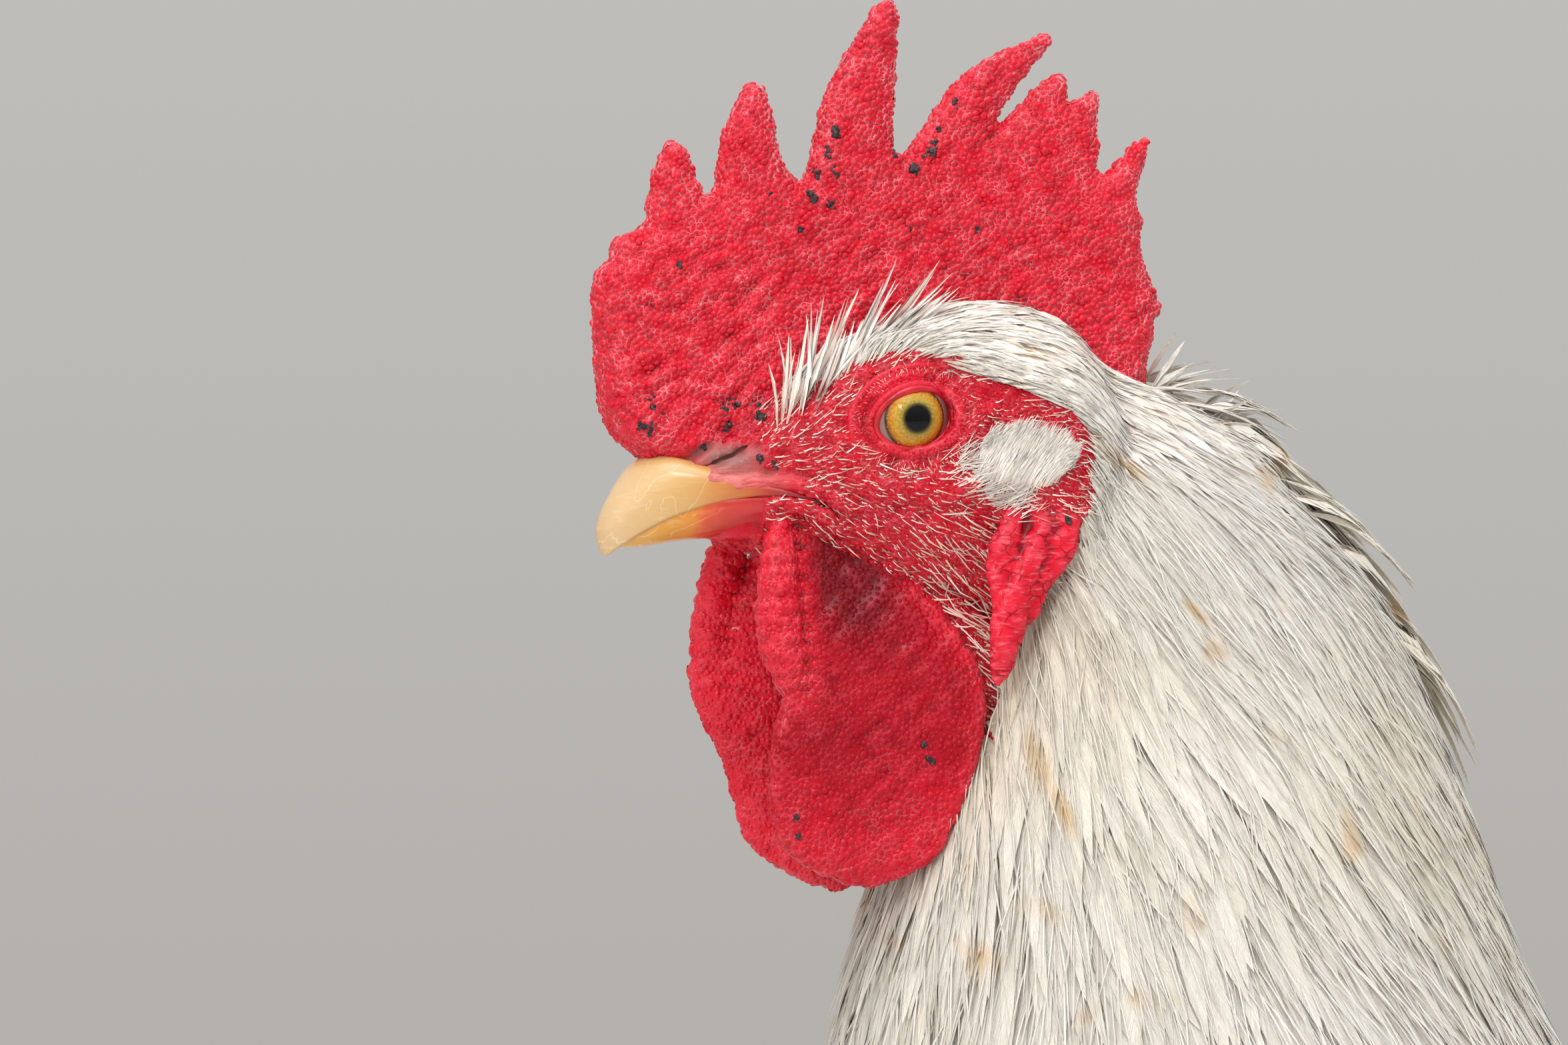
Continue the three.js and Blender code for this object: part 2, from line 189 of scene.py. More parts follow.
def loft(name, slices, around=40, along=48, caps=(0.1, 0.1), grow=0.0, bow=0.0, square=1.0):
    """A closed form through slices of [low x, low z, high x, high z, half width, middle y]."""
    piece, share, spoke = rings(name, around, along)
    row = smooth_row([(*s, 0.0) if len(s) == 5 else s for s in slices], share)
    low, high = row[:, [0, 5, 1]], row[:, [2, 5, 3]]
    middle, climb = (low + high) / 2, (high - low) / 2
    climb *= (1 + grow / np.maximum(np.linalg.norm(climb, axis=1), 1e-6))[:, None]
    boxy = np.sign(spoke) * np.abs(spoke) ** square * cap_share(share, caps)[:, None]
    place = middle + climb * boxy[:, 1:]
    place[:, 1] += boxy[:, 0] * (row[:, 4] + grow) + bow * boxy[:, 1] ** 2
    move_points(piece, world(place))
    face_outwards(piece)
    return piece


def strand(name, path, radii, around=12, along=24, caps=(0.1, 0.1), flat=1.0):
    """A round rope of flesh along a path. flat is its thickness sideways, as a share of its radius."""
    piece, share, spoke = rings(name, around, along)
    centre = smooth_row(path, share)
    ahead = unit(smooth_row(path, share + 0.02) - smooth_row(path, share - 0.02))
    out = np.array((0.0, 1.0, 0.0))
    out = unit(out - (ahead @ out)[:, None] * ahead)
    side = np.cross(ahead, out)
    size = smooth_row(np.asarray(radii, float)[:, None], share)[:, 0] * cap_share(share, caps)
    place = centre + side * (spoke[:, :1] * size[:, None]) + out * (spoke[:, 1:] * size[:, None] * flat)
    move_points(piece, world(place))
    face_outwards(piece)
    return piece


def join(name, pieces):
    select_only(*pieces)
    if len(pieces) > 1:
        bpy.ops.object.join()
    piece = bpy.context.view_layer.objects.active
    piece.name = piece.data.name = name
    return piece


def clay(name, pieces, grain_mm, smoothing):
    """Melts overlapping forms into one closed skin of even small faces."""
    piece = join(name, pieces)
    apply_modifier(piece, "REMESH", mode="VOXEL", voxel_size=grain_mm * MM)
    if smoothing:
        apply_modifier(piece, "SMOOTH", factor=0.5, iterations=smoothing)
    return piece


def boolean(piece, other, operation):
    apply_modifier(piece, "BOOLEAN", object=other, operation=operation, solver="MANIFOLD")
    bpy.data.objects.remove(other)
    return piece


def surface_of(piece):
    mesh = piece.data
    return BVHTree.FromPolygons([v.co for v in mesh.vertices], [p.vertices for p in mesh.polygons])


FORMS = []  # the label, points and faces of every form that is melted into the skin


def keep_form(label, *pieces):
    """Remembers forms before they melt together, so that each part of the skin can be told by them."""
    for piece in pieces:
        FORMS.append(
            (label, bird(points_of(piece)), [tuple(face.vertices) for face in piece.data.polygons])
        )
    return list(pieces)


# ---- Forms of flesh: the same slices as the solids, in bird millimetres ----
HEAD = at_head([
    (-32, -12, -32, -7, 2.5),
    (-28, -17, -29, -3, 6),
    (-20, -20, -21, 2, 9),
    (-10, -22, -11, 8, 12),
    (2, -27, -1, 13, 14.6),
    (14, -31, 11, 16.5, 16.2),
    (26, -33, 24, 14, 16.6),
    (37, -28, 38, 4, 13),
])
NECK = at_head([
    (12, -6, 22, 12, 11),
    (12, -25, 43, 5.6, 18),
    (7, -38, 62.5, -6.4, 23),
    (1, -53, 78.6, -27, 29),
    (-3.4, -70, 88, -52, 36),
    (-9, -92, 99, -86, 44),
    (-14, -125, 118, -122, 55),
    (-17, -162, 143, -150, 66),
    (-8, -204, 160, -176, 66),
])
TRUNK = [
    (-168, 312, -164, 345, 28),
    (-150, 252, -141, 392, 60),
    (-110, 218, -104, 408, 78),
    (-55, 203, -55, 404, 87),
    (0, 205, 0, 397, 90),
    (55, 222, 48, 398, 85),
    (108, 248, 90, 406, 72),
    (148, 286, 126, 418, 53),
    (172, 330, 150, 424, 32),
]
WING = [
    (-116, 330, -110, 352, 5, 62),
    (-104, 300, -94, 374, 12, 71),
    (-60, 272, -50, 384, 15, 79),
    (0, 262, 5, 382, 15, 83),
    (50, 266, 55, 370, 13, 80),
    (95, 280, 100, 350, 10, 70),
    (130, 292, 133, 326, 6.5, 57),
]
THIGH = [
    (-54, 270, 20, 285, 24, 42),
    (-60, 236, 46, 244, 34, 44),
    (-44, 194, 61, 202, 30, 46),
    (-10, 164, 62, 167, 21, 48),
    (18, 144, 55, 142, 12.5, 50),
    (28, 134, 49, 132, 8.5, 50),
]
SHANK = [
    (30, 138, 47, 136, 6.6, 50),
    (30, 134, 47, 132, 7, 50),
    (29, 122, 47, 123, 7.6, 50),
    (27, 105, 40.4, 107, 6.2, 50.6),
    (19.5, 66, 32, 67, 5.9, 52),
    (11.5, 30, 25, 30, 6.6, 53.4),
    (5, 15, 24.5, 13, 8.6, 54),
    (5, 2.4, 23, 2.4, 8, 54),
]
FOOT_X, FOOT_Y = 13.0, 54.0
TOES = (  # name, degrees from straight ahead away from the other leg, length, girth, joints
    ("middle", 2, 74, 1.0, 3),
    ("inner", -33, 54, 0.9, 2),
    ("outer", 36, 58, 0.88, 4),
    ("hind", -158, 33, 0.84, 1),
)
# depth of the feathers over the skin
COAT = {"neck": 5.0, "trunk": 9.0, "wing": 4.0, "thigh": 3.5, "tail": 6.0}

COMB_OUTLINE = np.array([
    (-33, -7), (-37.9, -5), (-41, -1.8), (-42.4, 2.2), (-43, 7.9), (-43.4, 18.1), (-42.7, 20.7),
    (-40.9, 22.3),
    (-40.1, 24.8), (-35.9, 27.6), (-35.3, 31.4), (-34, 35.9), (-32.1, 39.4), (-29.9, 38.1),
    (-28.3, 34.3),
    (-26.9, 32.1), (-25.9, 31.9), (-25, 36.4), (-23.4, 42.8), (-21.2, 47.2), (-19.5, 47.9),
    (-17.9, 46.1),
    (-16.9, 41.9), (-15.9, 37.1), (-14.2, 34.3), (-12.6, 33.8), (-11.6, 36.4), (-10.6, 41.1),
    (-8.7, 47.2),
    (-5.7, 52.7), (-1.2, 59.2), (0.6, 59.8), (2, 58.4), (1.6, 53.5), (0.8, 40.7), (1.6, 37.7),
    (2.7, 37.7),
    (6.7, 43.2), (10.6, 48.4), (15.5, 51.8), (23.7, 55.4), (24.5, 54.2), (19.4, 47.4), (15.7, 41.0),
    (19.2, 44.2), (22.9, 47.9), (26.3, 49.7), (27.2, 48), (27.4, 45.1), (31.5, 47.6), (31.7, 41.1),
    (31.7, 36.4), (32.5, 35.1), (35, 37.1), (39, 40.8), (39.2, 38.7), (37.5, 32.4), (38.4, 28.6),
    (38.1, 24),
    (41, 16.4), (40, 14.3), (39.5, 9.8), (36, 2), (20, 2), (0, 0), (-20, -6),
])
COMB_ROUND = 4.2  # how far in from its rim the comb thins, in millimetres


def closed_curve(corners, count):
    """Evenly shared points of a smooth closed curve through the corners."""
    looped = np.vstack([corners[-1:], corners, corners[:2]])
    share = (1 + np.arange(count) / count * len(corners)) / (len(looped) - 1)
    return smooth_row(looped, share)


def distance_to_outline(points, outline):
    """How far each flat point is from the closed outline."""
    start, end = outline, np.roll(outline, -1, axis=0)
    nearest = np.full(len(points), np.inf)
    for a, b in zip(start, end):
        run = b - a
        share = np.clip(((points - a) @ run) / max(run @ run, 1e-9), 0, 1)
        nearest = np.minimum(nearest, np.linalg.norm(points - a - share[:, None] * run, axis=1))
    return nearest


def from_opening(points):
    """How far each point lies outside the opening between the lids, and its turn round it."""
    x, z = points[:, 0] - EYE_X - LID_MIDDLE[0], points[:, 2] - EYE_Z - LID_MIDDLE[1]
    along = x * math.cos(LID_TILT) + z * math.sin(LID_TILT)
    up = z * math.cos(LID_TILT) - x * math.sin(LID_TILT)
    reach = np.hypot(along / LID_OPEN[0], up / LID_OPEN[1])
    return (reach - 1) * np.hypot(along, up) / np.maximum(reach, 0.01), np.arctan2(up, along)


def comb():
    """A deep blade with seven points, thickest along its base and thin towards every rim."""
    outline = closed_curve(COMB_OUTLINE, 264)
    deselect_all()
    bpy.ops.mesh.primitive_circle_add(vertices=len(outline), radius=1, fill_type="NGON")
    blade = bpy.context.object
    blade.name = blade.data.name = "comb_clay"
    flat = np.array([from_eye(x, -1.0, z) for x, z in outline])
    move_points(blade, world(flat))
    bpy.ops.object.mode_set(mode="EDIT")
    bpy.ops.mesh.select_all(action="SELECT")
    bpy.ops.mesh.extrude_region_move(TRANSFORM_OT_translate={"value": (0, 2 * MM, 0)})
    bpy.ops.mesh.select_all(action="SELECT")
    bpy.ops.mesh.normals_make_consistent(inside=False)
    bpy.ops.object.mode_set(mode="OBJECT")
    apply_modifier(blade, "REMESH", mode="VOXEL", voxel_size=0.5 * MM)
    place = head_place(bird(points_of(blade)))
    side, inwards = place[:, 1], distance_to_outline(place[:, [0, 2]], outline)
    thick = np.interp(place[:, 2], (4, 16, 44), (5.2, 3.4, 2.0))
    rim = np.sqrt(1 - (1 - np.clip(inwards / COMB_ROUND, 0.02, 1)) ** 2)
    sway = 0.7 * np.sin(place[:, 0] / 9) * np.clip(place[:, 2] / 40, 0, 1)
    place[:, 1] = np.clip(side, -1, 1) * thick * np.maximum(rim, 0.25) + sway
    move_points(blade, world(place + (EYE_X, 0, EYE_Z)))
    return blade


# A wattle is a thick flap with a rolled front edge at its top. The right one swings further forwards.
WATTLES = {
    -1: at_head([
        (-14, -13, -5, -13, 2.6, 4.4),
        (-14.5, -21, -2, -21, 2.5, 6.4),
        (-16, -30, 6, -29, 2.5, 9.6),
        (-18.6, -39, 11, -39, 2.4, 11.4),
        (-21, -50, 9.6, -50, 2.3, 12),
        (-19.8, -60, 5.6, -60, 2.2, 12),
        (-13.2, -67.6, 1.2, -67.2, 1.8, 11.6),
    ]),
    1: at_head([
        (-15, -13, -6, -13, 3, 7),
        (-18, -21, -4, -21, 2.8, 9),
        (-24, -30, 5, -30, 2.5, 10.2),
        (-26, -39, 9.6, -39, 2.4, 11.4),
        (-20.8, -50, 8.6, -50, 2.3, 12),
        (-17.4, -61, 4.6, -61, 2.2, 12),
        (-9.2, -69.2, 0.6, -69, 1.8, 11.6),
    ]),
}
WATTLE_ROLLS = {  # the rolled front edge: points and radii
    -1: (
        [
            (-17.6, 7.6, -14), (-18.6, 9.8, -19), (-19.2, 11.4, -25), (-19.2, 12.4, -31),
            (-18.2, 12.8, -36), (-17.6, 12.4, -41),
        ],
        (1.3, 2.3, 3.0, 3.3, 2.7, 1),
    ),
    1: (
        [(-19, 8, -15), (-21.4, 10, -21), (-23, 11, -29), (-23.4, 12, -35), (-21, 12, -42)],
        (1.8, 2.8, 2.9, 2.4, 1),
    ),
}
WATTLE_WEB = (  # what joins the roll and the flap: points and radii
    [(-15.2, 5.8, -14), (-15.2, 7.4, -19), (-15, 9.4, -25), (-14.8, 11.2, -31), (-14.6, 12.4, -38)],
    (2, 2.4, 2.6, 2.6, 1.6),
)
# points round the eye, and radii, of the folds of an earlobe, from the front one to the back one
LOBE_PLEATS = (
    ([(16.6, 13.4, -13), (15.8, 14.8, -16), (15.2, 16, -20)], (1.6, 1.9, 1.5)),
    (
        [
            (16.6, 12.6, -10.2), (15.6, 14.9, -12.6), (14.2, 16.2, -15.4), (13.0, 17.0, -18.2),
            (12.3, 17.4, -21.1), (12.2, 17.8, -24.4), (12.4, 18, -29),
        ],
        (0.9, 1.5, 1.9, 2.2, 2.4, 2.3, 1.6),
    ),
    (
        [
            (18.4, 12.8, -9.4), (18.5, 15.2, -12), (18.4, 16.4, -15.4), (17.5, 17.2, -18.7),
            (16.0, 17.8, -21.6), (14.6, 18.2, -24.4), (13.5, 18.5, -27.3), (12.8, 18.6, -30.6),
            (12.3, 18.6, -33.9), (11.6, 18.5, -36.8), (10.9, 18.4, -38.7),
        ],
        (0.9, 1.3, 1.6, 1.8, 2.1, 2.5, 2.7, 2.7, 2.2, 1.5, 0.7),
    ),
    (
        [
            (20.3, 12.8, -10.4), (20.2, 14.8, -13), (19.9, 15.8, -15.6), (19.1, 16.6, -19.2),
            (18, 17.2, -22.6), (16.6, 17.5, -26.4),
        ],
        (0.9, 1.3, 1.6, 1.7, 1.6, 1.2),
    ),
    (
        [
            (21.6, 11.8, -9), (22.2, 14.4, -11.6), (22.5, 15.8, -14.4), (22.1, 16.4, -17.8),
            (21.0, 16.7, -20.1), (19.2, 17.0, -22.5), (17.8, 17.3, -25.4), (16.6, 17.5, -28.2),
            (15.7, 17.5, -30.6),
        ],
        (1.0, 1.6, 1.9, 2.1, 2.1, 2.0, 1.6, 1.2, 0.8),
    ),
)


def wattle(side):
    flap = loft(
        f"wattle_clay_{side}", on_side(WATTLES[side], side), 32, 48, (0.06, 0.14), bow=side * 1.6,
        square=0.72,
    )
    path, radii = WATTLE_ROLLS[side]
    roll = strand(f"roll_{side}", path_at_head(path, side), radii, 20, 32, flat=0.8)
    filling = strand(f"web_{side}", path_at_head(WATTLE_WEB[0], side), WATTLE_WEB[1], 20, 28, flat=0.7)
    return [flap, roll, filling]


def lobe(side):
    return [
        strand(f"pleat_{side}_{i}", path_at_head(path, side), radii, 16, 30, flat=0.66)
        for i, (path, radii) in enumerate(LOBE_PLEATS)
    ]


# ---- Eyes: where they look and how the lids lie round them ----
GLOBE_RADIUS, GLOBE_Y = 6.9, 8.2
LID_TILT = math.radians(13)  # the front corner of the lids is the lower one
LID_MIDDLE = (0.7, -0.5)
LID_OPEN = (5.7, 4.1)  # half the opening's length and height


def lid_point(side, turn, grow, lift):
    """A point at an angle round the lids, over the eyeball by lift."""
    across, up = (LID_OPEN[0] + grow) * math.cos(turn), (LID_OPEN[1] + grow * 0.92) * math.sin(turn)
    x = LID_MIDDLE[0] + across * math.cos(LID_TILT) - up * math.sin(LID_TILT)
    z = LID_MIDDLE[1] + across * math.sin(LID_TILT) + up * math.cos(LID_TILT)
    depth = math.sqrt(max(GLOBE_RADIUS**2 - x * x - z * z, 9.0))
    return from_eye(x, side * (GLOBE_Y + depth + lift), z)


def lid_ring(name, side, grow, lift, radius):
    turns = np.linspace(0, 2 * math.pi * 1.04, 26)
    path = [lid_point(side, turn, grow, lift) for turn in turns]
    return strand(name, path, [radius] * len(path), 10, 90, (0.01, 0.01))


def eye_opening(side):
    """The cutter of the lids' opening: an oval cone round the eye's axis."""
    inner = [lid_point(side, turn, -0.2, 0) for turn in np.linspace(0, 2 * math.pi, 33)[:-1]]
    deselect_all()
    bpy.ops.mesh.primitive_cylinder_add(vertices=len(inner), radius=1, depth=1)
    piece = bpy.context.object
    piece.name = piece.data.name = f"eye_cut_{side}"
    place = points_of(piece)
    turn = np.arctan2(place[:, 1], place[:, 0])
    deep = place[:, 2] < 0
    spots = np.array([lid_point(side, t, -0.3 if low else 0.8, 0) for t, low in zip(turn, deep)])
    spots[:, 1] = side * np.where(deep, GLOBE_Y + 1.0, 24.0)
    move_points(piece, world(spots))
    face_outwards(piece)
    return piece


# ---- The two halves of the beak: their shapes, which the skin at its root then lies on ----
UPPER_BEAK = at_head([  # the cutting edge, the ridge, and the half width at the cutting edge
    (-10.5, -13, -13, -11, 10.6),
    (-15, -11.8, -19, -9.2, 10.4),
    (-19, -11.4, -24.5, -7.6, 9.8),
    (-23, -11.5, -30, -6.2, 8.9),
    (-28, -12.4, -34.5, -5.4, 7.3),
    (-33, -14.1, -38.2, -7.2, 5.4),
    (-37.2, -16.4, -41.2, -11.6, 3.7),
    (-40.2, -18.6, -42.9, -15.6, 2.1),
    (-42, -20.2, -42.9, -18.8, 0.7),
])
LOWER_BEAK = at_head([  # the underside, the upper edge, and the half width at the upper edge
    (-14, -17, -14, -12.8, 9.4),
    (-20, -16.9, -20, -11.9, 9.2),
    (-26, -17.5, -26, -12.2, 7.6),
    (-31, -17.9, -31, -13.3, 5.6),
    (-36, -18.7, -36, -15.2, 3.6),
    (-40.2, -18.9, -40, -17.6, 1.2),
])
EDGE_ROUND = 0.14  # how round the inner face of each half of the beak is


def beak_half(name, slices, upper):
    """Half a beak: round outside, nearly flat inside, with a sharp edge between."""
    piece, share, spoke = rings(name, 48, 72)
    row = smooth_row(slices, share)
    low, high = row[:, [0, 1]], row[:, [2, 3]]
    edge, ridge = (low, high) if upper else (high, low)
    closing = cap_share(share, (0.05, 0.05))
    up = spoke[:, 1] * closing * (1 if upper else -1)
    climb = np.where(
        up > 0, np.abs(up) ** 0.9, EDGE_ROUND * up,
    ) if upper else np.where(up < 0, -up, -EDGE_ROUND * up)
    flat = edge + (ridge - edge) * climb[:, None]
    across = np.sign(spoke[:, 0]) * np.abs(spoke[:, 0]) ** 0.85 * closing * row[:, 4]
    move_points(piece, world(np.stack([flat[:, 0], across, flat[:, 1]], axis=1)))
    face_outwards(piece)
    piece.data.shade_smooth()
    return piece


upper_beak = beak_half("upper_beak", UPPER_BEAK, True)
lower_beak = beak_half("lower_beak", LOWER_BEAK, False)

# ---- The head's skin ----
FACE_FOLDS = {  # points round the eye, radii, and how far each fold stands out of the face
    "nostril_roll": (
        [(-36.4, -5.2), (-33.4, -4.6), (-30, -3.4), (-26.6, -1.6), (-23, -0.4), (-19, 0.6)],
        (1.1, 2.1, 2.6, 2.6, 2.3, 1), 1.8,
    ),
    "nostril_flap": (
        [(-30.4, -7.0), (-27.4, -5.8), (-24.4, -4.3), (-21.6, -3.0)], (0.6, 1.2, 1.1, 0.6), 0.45,
    ),
    "nostril_floor": (
        [(-29.4, -8.4), (-26.4, -7.9), (-22.6, -6.4), (-18.4, -5.0)], (0.4, 1.2, 1.4, 1), 0.55,
    ),
    "cere": (
        [(-29, -8.9), (-25.6, -9.1), (-22, -9.2), (-18, -9.5), (-14.4, -10)], (0.3, 1.1, 1.5, 1.5, 1),
        0.45,
    ),
    "gape_upper": (
        [(-21, -9.7), (-16.7, -9.6), (-13, -10.7), (-9.8, -12.4), (-7.6, -14.4)],
        (0.8, 1.1, 1.4, 1.5, 0.9), 1.0,
    ),
    "gape_lower": (
        [(-21, -12.8), (-18.6, -12.7), (-16, -12.8), (-13.2, -13.8), (-10.8, -15.4), (-9, -17.4)],
        (0.6, 1.2, 1.6, 1.7, 1.5, 0.9), 1.0,
    ),
    "chin_side": ([(-26.6, -17.4), (-24, -17.2), (-21, -17), (-17, -17.4)], (0.3, 0.8, 1.6, 1.6), 0.3),
    "chin_knot": ([(-20.4, -12.6), (-19.2, -14.2), (-18.6, -16.4)], (1.0, 1.5, 1.3), 0.9),
    "brow": ([(-15, 4.8), (-8, 8.4), (0, 9.8), (8, 8.4), (15, 4.8)], (2, 3.4, 3.6, 3.4, 2), 1.0),
    "cheek": ([(-12, -8.4), (-2, -10.4), (8, -10.6), (17, -8)], (3, 5, 5.4, 4), 0.8),
    "jaw": ([(-21, -18), (-12, -19.6), (-2, -22), (8, -25)], (2, 3.4, 4, 3), 0.6),
    "temple": ([(9, 2), (14, -1), (19, -3)], (2.4, 3.4, 2.4), 0.5),
}
# folds in the bird's middle plane: name, points round the eye, radii, and how broad they are
MIDDLE_FOLDS = (
    (
        "dewlap", ((-17, -16.5), (-8, -19), (2, -25), (9, -33), (13, -42), (16, -54)),
        (2.2, 4.6, 7.5, 8.5, 8.5, 7), 1.3,
    ),
    (
        "nape", ((20, 5), (28, 1.8), (35.5, -1), (42, -4.8), (49, -9.3), (56, -15)),
        (4, 6, 6.4, 6.7, 7, 7), 1.4,
    ),
)
FACE_CUTS = {  # the nostril's slit, and the line of the gape behind the beak
    "nostril": ([(-28.8, -7.3), (-26.8, -6.6), (-24.6, -5.5), (-22.4, -4.2)], (0.14, 0.26, 0.3, 0.16)),
    "gape": (
        [(-20, -10.9), (-16.7, -11.1), (-13.2, -12.3), (-10.8, -13.8), (-9.6, -15.2)],
        (0.2, 0.3, 0.34, 0.3, 0.14),
    ),
}


def on_face(surfaces, x, z, side, out):
    """The outermost point of the forms beside (x, z), given round the eye, stood off by out."""
    start = world(from_eye(x, side * 60, z))
    hits = [surface.ray_cast(Vector(start), Vector((0, -side, 0))) for surface in surfaces]
    hits = [hit for hit in hits if hit[0] is not None]
    if not hits:
        return from_eye(x, side * 1.5, z)
    hit, normal, _, _ = min(hits, key=lambda found: found[3])
    return bird(hit) + np.array(normal) * out


def face_strand(surfaces, name, side, path, radii, stands_out, deep=1.0):
    """A fold of skin that follows the face and stands out of it a little, or the cutter of a groove."""
    reach = max(radii)
    points = [
        on_face(surfaces, x, z, side, stands_out * radius / reach - radius * deep)
        for (x, z), radius in zip(
            path, smooth_row(np.array(radii)[:, None], np.linspace(0, 1, len(path)))[:, 0],
        )
    ]
    return strand(f"{name}_{side}", points, radii, 16, 40, flat=deep)


def lids(side):
    folds = ((0.9, 0.15, 0.85), (2.1, 0.55, 0.85), (3.4, 0.95, 0.8))
    return [lid_ring(f"lid_{side}_{i}", side, *fold) for i, fold in enumerate(folds)]


def soften(piece, where, iterations):
    """Smooths only the part of a piece where the mask holds, to blend one form into the next."""
    place = head_place(bird(points_of(piece)))
    group = piece.vertex_groups.new(name="soften")
    group.add(np.flatnonzero(where(*place.T)).tolist(), 1.0, "REPLACE")
    apply_modifier(piece, "SMOOTH", factor=0.6, iterations=iterations, vertex_group=group.name)
    piece.vertex_groups.remove(piece.vertex_groups["soften"])


def comb_foot(x, y, z):
    """Where the comb's blade grows out of the skull."""
    crown = np.interp(x, (-33, -20, -10, 0, 12, 26, 38), (-6, 2, 8, 13, 16.5, 14, 4))
    return (np.abs(z - crown - 1) < 4.5) & (np.abs(y) < 13) & (x > -19)


def wattle_root(x, y, z):
    """Where the wattles hang from the jaw."""
    return (x > -24) & (x < 6) & (z < -14) & (z > -25)


def beak_root(x, y, z):
    """Round the nostrils and the corners of the gape."""
    return (x < -9) & (z < 0) & (z > -17)


def head_clay():
    shell = loft("head_clay", HEAD, 64, 72, (0.08, 0.16), grow=-0.3, square=0.86)
    ground = [surface_of(shell), surface_of(upper_beak), surface_of(lower_beak)]
    for _, side in SIDES:
        boolean(shell, eye_opening(side), "DIFFERENCE")
    pieces = keep_form("face", shell) + keep_form("comb", comb())
    for _, side in SIDES:
        pieces += keep_form("lid", *lids(side)) + keep_form(
            "wattle", *wattle(side),
        ) + keep_form("lobe", *lobe(side))
        folds = [face_strand(ground, name, side, *fold) for name, fold in FACE_FOLDS.items()]
        pieces += keep_form("face", *folds)
    for name, path, radii, flat in MIDDLE_FOLDS:
        pieces += keep_form(
            "face", strand(name, [from_eye(x, 0, z) for x, z in path], radii, 24, 32, flat=flat),
        )
    skull = clay("head_clay", pieces, 0.45, 2)
    soften(skull, comb_foot, 14)
    soften(skull, wattle_root, 8)
    for _, side in SIDES:
        melted = [surface_of(skull), ground[1], ground[2]]
        for name, (path, radii) in FACE_CUTS.items():
            boolean(
                skull, face_strand(melted, f"{name}_cut", side, path, radii, 0.5, 2.6), "DIFFERENCE",
            )
    soften(skull, beak_root, 2)
    return skull


def toe_slices(length, girth, joints):
    """A toe swells at each joint."""
    count = 2 * joints + 3
    slices = []
    for i in range(count):
        share = i / (count - 1)
        swell = 1 + 0.1 * math.cos(2 * math.pi * share * joints)
        half = girth * (6 - 2 * share) * swell - 0.2
        high = girth * (12 - 4.6 * share**0.7) * swell - 0.2
        slices.append((-length * share, -0.4, -length * share, high, half))
    return slices


def turn_toe(points, turn, side):
    """Points of a toe that runs towards -X, turned and set at the foot."""
    angle = math.radians(-side * turn)
    x, y, z = np.asarray(points, float).T
    return np.stack([
        FOOT_X + x * math.cos(angle) - y * math.sin(angle),
        side * FOOT_Y + x * math.sin(angle) + y * math.cos(angle),
        z,
    ], axis=1)


def toe(side, turn, length, girth, joints):
    piece = loft(f"toe_clay_{side}_{turn}", toe_slices(length, girth, joints), 24, 40, (0.07, 0.08))
    move_points(piece, world(turn_toe(bird(points_of(piece)), turn, side)))
    return piece


def leg_clay(side):
    pieces = [loft(f"shank_clay_{side}", on_side(SHANK, side), 28, 60, (0.03, 0.04), grow=-0.3)]
    pieces += [toe(side, *which[1:]) for which in TOES]
    leg = clay(f"leg_clay_{side}", keep_form("leg", *pieces), 1.4, 2)
    place = points_of(leg)
    place[:, 2] = np.maximum(place[:, 2], 0.0)  # the undersides lie flat on the floor
    move_points(leg, place)
    return leg


def body_clay():
    pieces = keep_form("neck", loft("neck_clay", NECK, 48, 60, (0.1, 0.14), grow=-COAT["neck"]))
    pieces += keep_form("trunk", loft("trunk_clay", TRUNK, 48, 60, (0.1, 0.1), grow=-COAT["trunk"]))
    for _, side in SIDES:
        wing = loft(f"wing_{side}", on_side(WING, side), 24, 40, (0.08, 0.05), grow=-COAT["wing"])
        thigh = loft(f"thigh_{side}", on_side(THIGH, side), 32, 40, (0.12, 0.1), grow=-COAT["thigh"])
        pieces += keep_form("wing", wing) + keep_form("thigh", thigh)
    return clay("body_clay", pieces, 4.6, 4)


def ripple(points, wavelength, seed, waves=9):
    """A smooth uneven relief of about this wavelength in millimetres, mostly between -1 and 1."""
    rng = np.random.default_rng(seed)
    ways = unit(rng.normal(size=(waves, 3))) * 2 * math.pi / (
        wavelength * rng.uniform(0.7, 1.4, (waves, 1))
    )
    return np.sin(points @ ways.T + rng.uniform(0, 2 * math.pi, waves)).sum(axis=1) / math.sqrt(waves)


def normals_of(piece):
    flat = np.empty(len(piece.data.vertices) * 3)
    piece.data.vertices.foreach_get("normal", flat)
    return flat.reshape(-1, 3)


def form_labels(points):
    """The label of the form nearest to each point."""
    corners = np.vstack([form_points for _, form_points, _ in FORMS])
    faces, labels, first = [], [], 0
    for label, form_points, form_faces in FORMS:
        faces += [[first + corner for corner in face] for face in form_faces]
        labels += [label] * len(form_faces)
        first += len(form_points)
    tree = BVHTree.FromPolygons(corners.tolist(), faces)
    return np.array([labels[tree.find_nearest(point)[2]] for point in points.tolist()])


def bell(value, middle, width):
    """A smooth hump of height 1 at the middle."""
    return np.exp(-(((value - middle) / width) ** 2))


RIDGE_TILT = math.radians(25)  # the comb's folds climb this steeply towards its back


def creases(place, long, short, tilt):
    """Fine creases between cells of skin, 1 on a crease: the cells are long, short and lie at a tilt."""
    x, z = place[:, 0], place[:, 2]
    along = (x * math.cos(tilt) + z * math.sin(tilt)) / long
    over = (z * math.cos(tilt) - x * math.sin(tilt)) / short
    bent = over + 0.35 * ripple(place, 3.0, 12)
    near = [blender_noise.voronoi(Vector(spot))[0] for spot in zip(along, place[:, 1] / long, bent)]
    return np.array([bell(row[1] - row[0], 0, 0.13) for row in near])


